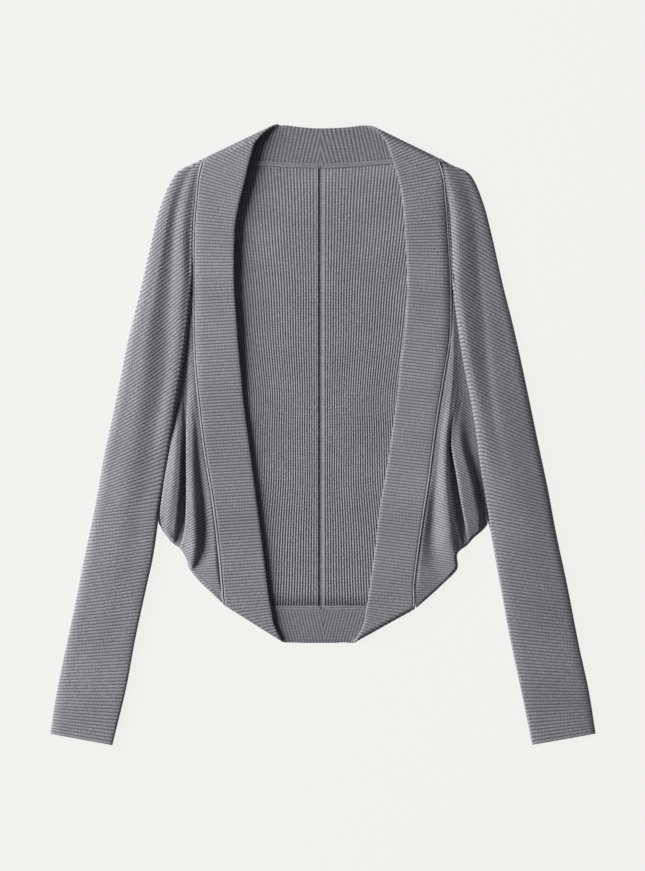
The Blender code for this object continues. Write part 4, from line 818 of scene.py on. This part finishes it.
# ----------------------------------------
# The bands: one doubled strip of rib knit to each half, seamed to it all along. It starts at the
# centre back of the neck, turns over at the shoulder, runs down the front, and turns under at the
# hem to the centre back. Inside the neck and hem the turned seam edge shows as a stitched strip.

BAND = 2.6  # thickness
UNDER_HIGH = 1.3  # how high its middle lies inside the neck and hem
# One row for each chosen rib, centre-back neck to centre-back hem, from its free end to its seam
# end. The rows are grouped by the layers that these ends lie in: the neck, the front or the hem.
BandRow = namedtuple(
    "BandRow", "free_out free_up seam_out seam_up free_high seam_high rib_spacing", defaults=(3.5,)
)
BAND_ROWS = {"right": named(BandRow, {("neck", "neck"): [
    (-9.5, 343, 2, 297.5, 8.5, 8.5, 4.2), (9, 343.2, 20, 298, 8.5, 8.5, 4.2),
    (26, 344.6, 36, 298.6, 8.5, 8.5, 4.2), (40.5, 346.4, 49.5, 299.2, 8.5, 8.5, 4.1),
    (47.5, 346.4, 59.5, 299.9, 8.5, 8.5, 3.9), (53.2, 346.8, 67, 300.4, 8.5, 8.5, 3.8),
], ("front", "neck"): [
    (73.4, 328.7, 90, 302.5, 10.6, 8.5, 3.6), (80.1, 310.8, 110.8, 304.7, 11.4, 8.5),
], ("front", "front"): [
    (87.5, 280, 138.5, 298, 10.8, 8.5), (94, 253.5, 143, 262, 10, 8.3),
    (97.8, 226, 145.5, 229.5, 9.5, 8.1), (98.5, 171, 146, 169.5, 9, 8),
    (95, 116, 145.5, 113, 8.8, 8), (91.5, 74.5, 143.5, 71.5, 7.4, 8.2),
    (87.5, 33, 139.5, 30, 6.2, 8.4), (81, -16, 133.5, -19, 6.3, 8.6),
    (74, -70, 124.5, -73, 6.4, 8.6), (66.5, -128, 117.5, -131.5, 6.4, 7.6),
    (61.5, -168.5, 113.8, -172, 6.4, 6.8), (59.3, -184, 112.2, -187, 6.5, 6.5),
], ("front", "hem"): [
    (56.2, -200, 93.5, -191.2, 6.5, 6.5), (53, -215, 76, -191.5, 6.5, 6.5),
], ("hem", "hem"): [
    (34, -233.2, 45, -191.5, 6.5, 6.5), (18.5, -233.5, 28, -191.5, 6.5, 6.5, 3.4),
    (-1.5, -233.5, 8, -191.5, 6.5, 6.5, 3.4), (-8.5, -233.5, 1.2, -191.5, 6.5, 6.5, 3.4),
]}), "left": named(BandRow, {("neck", "neck"): [
    (-15.3, 343, -1.3, 297.5, 8.5, 8.5, 4.6), (5.5, 343.2, 17.5, 298, 8.5, 8.5, 4.6),
    (23.5, 344, 33.5, 299, 8.5, 8.5, 4.6), (37.5, 345.4, 46.5, 299.8, 8.5, 8.5, 4.4),
    (45, 346.2, 56.5, 300.8, 8.5, 8.5, 4),
], ("front", "neck"): [
    (70, 328.5, 88, 303.5, 8.5, 8.5, 3.6), (77, 311, 108, 306, 8.5, 8.5),
], ("front", "front"): [
    (85, 285, 135.5, 296, 8.3, 8.5), (90, 258.5, 139.5, 265.5, 8, 8.3),
    (92.5, 226, 142, 228, 7.8, 8.1), (95, 171, 145.4, 167, 7.4, 8), (92, 116, 144.8, 110.5, 7, 8),
    (87, 78, 138.9, 71.5, 6.8, 8.4), (82, 31, 131.2, 25, 6.6, 8.8),
    (76, -10.5, 125.3, -16.5, 6.5, 9), (70, -50, 120.2, -56, 6.5, 9),
    (64.5, -81, 115.2, -87, 6.5, 8.4), (59, -128, 108.3, -134.5, 6.5, 7.6),
    (54, -163, 104.3, -169, 6.5, 6.8), (50.5, -187, 104, -191.5, 6.5, 6.5),
], ("front", "hem"): [
    (47.5, -203, 84, -192, 6.5, 6.5), (45.5, -213, 70, -192, 6.5, 6.5),
], ("hem", "hem"): [
    (27, -233.2, 39, -191.5, 6.5, 6.5), (13, -233.5, 23, -191.5, 6.5, 6.5, 3.4),
    (3, -233.5, 13.5, -191.5, 6.5, 6.5, 3.4), (-10, -233.5, -0.1, -191.5, 6.5, 6.5, 3.4),
]})}
# The two folds as they show from above, each from the free edge to the seam, and the radius of the
# turn; and the joins at the centre back, each from its seam end to its free end.
Fold = namedtuple("Fold", "free_out free_up seam_out seam_up radius")
Join = namedtuple("Join", "seam_out seam_up free_out free_up")
FOLDS = {
    "right": {"neck": Fold(69, 340, 135.5, 308.2, 3.6), "hem": Fold(52, -228, 111.5, -190.5, 2.6)},
    "left": {"neck": Fold(64.5, 341.5, 131, 309.2, 3.6), "hem": Fold(43, -229.3, 104, -195.3, 2.6)},
}
JOINS = {
    "right": {"neck": Join(1.5, 297.5, 1.5, 343), "hem": Join(0.5, -191.5, -2.8, -233.5)},
    "left": {"neck": Join(-1.9, 297.5, -1.9, 343), "hem": Join(-0.9, -191.5, 2.4, -233.5)},
}
# Across the band, from its free edge: how far in each column lies, and how thick it is there. Then
# from its seam edge: how far in each column lies, how far the stitched ridge rises or sinks on the
# front and inside, and whether its stitching hides the ribs inside.
FreeColumn = namedtuple("FreeColumn", "inset thick")
FREE_COLUMNS = [
    FreeColumn(0, 0.05), FreeColumn(0.15, 0.45), FreeColumn(0.55, 0.8), FreeColumn(1.3, 1)
]
RidgeColumn = namedtuple("RidgeColumn", "inset front inside stitched")
SEAM_COLUMNS = [
    RidgeColumn(6.4, 0, 0, 0), RidgeColumn(5.6, 0, -0.4, 1), RidgeColumn(4.9, 0, 0.7, 1),
    RidgeColumn(4.3, 0, 0.8, 1), RidgeColumn(3.7, 0.1, 0.2, 1), RidgeColumn(3.1, -0.45, 0.1, 1),
    RidgeColumn(2.6, -0.1, 0.4, 1), RidgeColumn(2.1, 0.4, 0.8, 1), RidgeColumn(1.6, 0.45, 0.8, 1),
    RidgeColumn(1, -0.3, 0.2, 1), RidgeColumn(0.3, -0.6, 0, 1),
]
PLAIN_COLUMNS = 14  # between those
FULL_WIDTH = 24.0  # on shorter ribs both sets of columns draw together
MOST_CUT = 0.985  # the share of a rib that is cut off at the centre back, at most
SINK_WIDE = 11.0  # how wide the band slopes down to the sunken seam
BAND_RIB_RISE = 0.6
INSIDE_RIB_RISE = 0.25  # pressed flatter where the band lies turned over


def fold_axis(side, where):
    """A point of the fold's axis and the direction that leads out over the fold."""
    fold = FOLDS[side][where]
    first = np.array([fold.free_out, fold.free_up])
    along = np.array([fold.seam_out, fold.seam_up]) - first
    out = turned_left(along[None])[0]
    out = out if out[1] * fold.free_up > 0 else -out
    return first - out * (fold.radius + BAND / 2), out, fold.radius


def opened(side, where, out, up):
    """Where a point lies once its layer is opened out flat in the plane of the front."""
    point = np.array([out, up], dtype=float)
    if where == "front":
        return point
    axis, outward, radius = fold_axis(side, where)
    back = (axis - point) @ outward
    turn = math.pi - math.asin(min(max(-back / radius, 0.0), 1.0))
    return point + outward * (max(2 * back, back) + radius * turn)


def folded(side, flat, high):
    """Folds flat points over at the shoulder and under at the hem."""
    placed = np.concatenate([flat, high[..., None]], axis=-1)
    for where in ("neck", "hem"):
        axis, outward, radius = fold_axis(side, where)
        past = (flat - axis) @ outward
        angle = np.clip(past / radius, 0.0, math.pi)
        beyond = np.maximum(past - math.pi * radius, 0.0)
        shift = radius * np.sin(angle) - np.maximum(past, 0.0) - beyond
        moved = placed[..., 0:2] + outward * shift[..., None]
        placed[..., 0:2] = np.where((past > 0)[..., None], moved, placed[..., 0:2])
        turned_high = UNDER_HIGH + radius + radius * np.cos(angle)
        placed[..., 2] = np.where(past > 0, turned_high, placed[..., 2])
    return placed


def band(side):
    rows = []
    for (free_in, seam_in), ribs in BAND_ROWS[side].items():
        for row in ribs:
            free = opened(side, free_in, row.free_out, row.free_up)
            seam = opened(side, seam_in, row.seam_out, row.seam_up)
            rows.append([*free, *seam, row.free_high, row.seam_high, row.rib_spacing])
    dense = smooth(rows)
    dense, count = rib_rows(dense, dense[:, 0:2], dense[:, 2:4], dense[:, 6])
    free, seam = dense[:, 0:2].copy(), dense[:, 2:4].copy()

    # past the centre back each rib is cut off at the join
    cut = np.zeros((len(free), 1), dtype=bool)
    for where in ("neck", "hem"):
        join = JOINS[side][where]
        low = opened(side, where, join.seam_out, join.seam_up)
        high = opened(side, where, join.free_out, join.free_up)
        across = np.array([-(high - low)[1], (high - low)[0]])
        inside = dense[len(dense) // 2, 0:2] - low
        across = across if across @ inside > 0 else -across
        free_side, seam_side = [((ends - low) @ across)[:, None] for ends in (free, seam)]
        beyond = free_side < 0
        share = np.where(beyond, free_side / np.minimum(free_side - seam_side, -1e-6), 0.0)
        free = blend(free, seam, np.clip(share, 0.0, MOST_CUT))
        cut |= beyond

    width = lengths(seam - free)
    squeeze = np.minimum(width / FULL_WIDTH, 1.0)
    from_free = [column.inset * squeeze / width for column in FREE_COLUMNS]
    from_seam = [1 - column.inset * squeeze / width for column in SEAM_COLUMNS]
    between = [
        blend(from_free[-1], from_seam[0], step / (PLAIN_COLUMNS + 1))
        for step in range(1, PLAIN_COLUMNS + 1)
    ]
    share = np.hstack(from_free + between + from_seam)
    half = np.full_like(share, BAND / 2)
    for index, column in enumerate(FREE_COLUMNS):
        half[:, index:index + 1] = np.where(cut, 1.0, column.thick) * BAND / 2
    no_ridge = np.zeros((3, len(FREE_COLUMNS) + PLAIN_COLUMNS))
    ridges = np.hstack([no_ridge, np.array(SEAM_COLUMNS)[:, 1:].T])
    front_ridge, inside_ridge, stitched = ridges
    flat = blend(free[:, None, :], seam[:, None, :], share[..., None])
    near_seam = np.clip(1 - (1 - share) * width / SINK_WIDE, 0.0, 1.0)
    sink = seam_sink(side, seam[:, 1:2]) * eased(near_seam)
    middle = folded(side, flat, blend(dense[:, 4:5], dense[:, 5:6], share) - sink)

    inside = np.zeros(share.shape, dtype=bool)
    for where in ("neck", "hem"):
        axis, outward, _ = fold_axis(side, where)
        inside |= (flat - axis) @ outward > 0
    rib_rise = np.where(inside, INSIDE_RIB_RISE, BAND_RIB_RISE)
    ribs = rib_round(count) * rib_rise * (half / (BAND / 2))
    on_front = front_ridge != 0
    return knit_cloth(
        f"band_knit_{side}", side, middle, half,
        face_rise=ribs * (1 - on_front) + front_ridge * squeeze * ~inside,
        rib_count=count,
        finish=band_knit,
        back_rise=ribs * (1 - stitched) * inside + inside_ridge * squeeze * inside,
        smoothness=np.where(inside, stitched, on_front * 1.0),
        reverse=inside * 1.0,
    )


# the same yarn in doubled rib knit: firmer, with quieter flecks and the same painted shade in its
# grooves
band_knit = rib_knit("rib_knit_viscose_doubled", "9A999F", "6E6D73", 0.14)
for side in SIDES:
    piece = band(side)
    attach(piece, "root")
    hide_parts(f"band_{side}")

# ----------------------------------------
# The light: one large soft box low on the left, like a window, and the pale room round it, which
# fills the shadows a little.

WINDOW_PLACE = (-3.5, 0.9, 1.75)
WINDOW_SIZE = (2.0, 2.3)
WINDOW_POWER = 300.0
ROOM_GLOW = 0.08
window = bpy.data.lights.new("window_light", "AREA")
window.shape = "RECTANGLE"
window.size, window.size_y = WINDOW_SIZE
window.energy = WINDOW_POWER
window_object = placed("window_light", window)
window_object.location = WINDOW_PLACE
window_object.rotation_euler = (-Vector(WINDOW_PLACE)).to_track_quat("-Z", "Y").to_euler()
room = bpy.data.worlds.new("pale_room")
room.use_nodes = True
room.node_tree.nodes["Background"].inputs["Color"].default_value = (1.0, 1.0, 1.0, 1.0)
room.node_tree.nodes["Background"].inputs["Strength"].default_value = ROOM_GLOW
bpy.context.scene.world = room
bpy.context.scene.view_settings.view_transform = "Standard"

# ----------------------------------------
# The camera: straight above the middle, with a long lens, so that next to nothing leans. The frame
# is 645 x 871 and takes in 722 mm of the table's width.

FRAME_HIGH = 0.9755  # metres of table from the frame's foot to its head
CAMERA_PLACE = (-0.0005, 0.0, 6.005)
CAMERA_DISTANCE = 6.0  # above the cloth
SENSOR = 36.0
camera = bpy.data.cameras.new("camera")
camera.sensor_width = SENSOR
camera.lens = SENSOR * CAMERA_DISTANCE / FRAME_HIGH
camera_object = placed("camera", camera)
camera_object.location = CAMERA_PLACE
bpy.context.scene.camera = camera_object
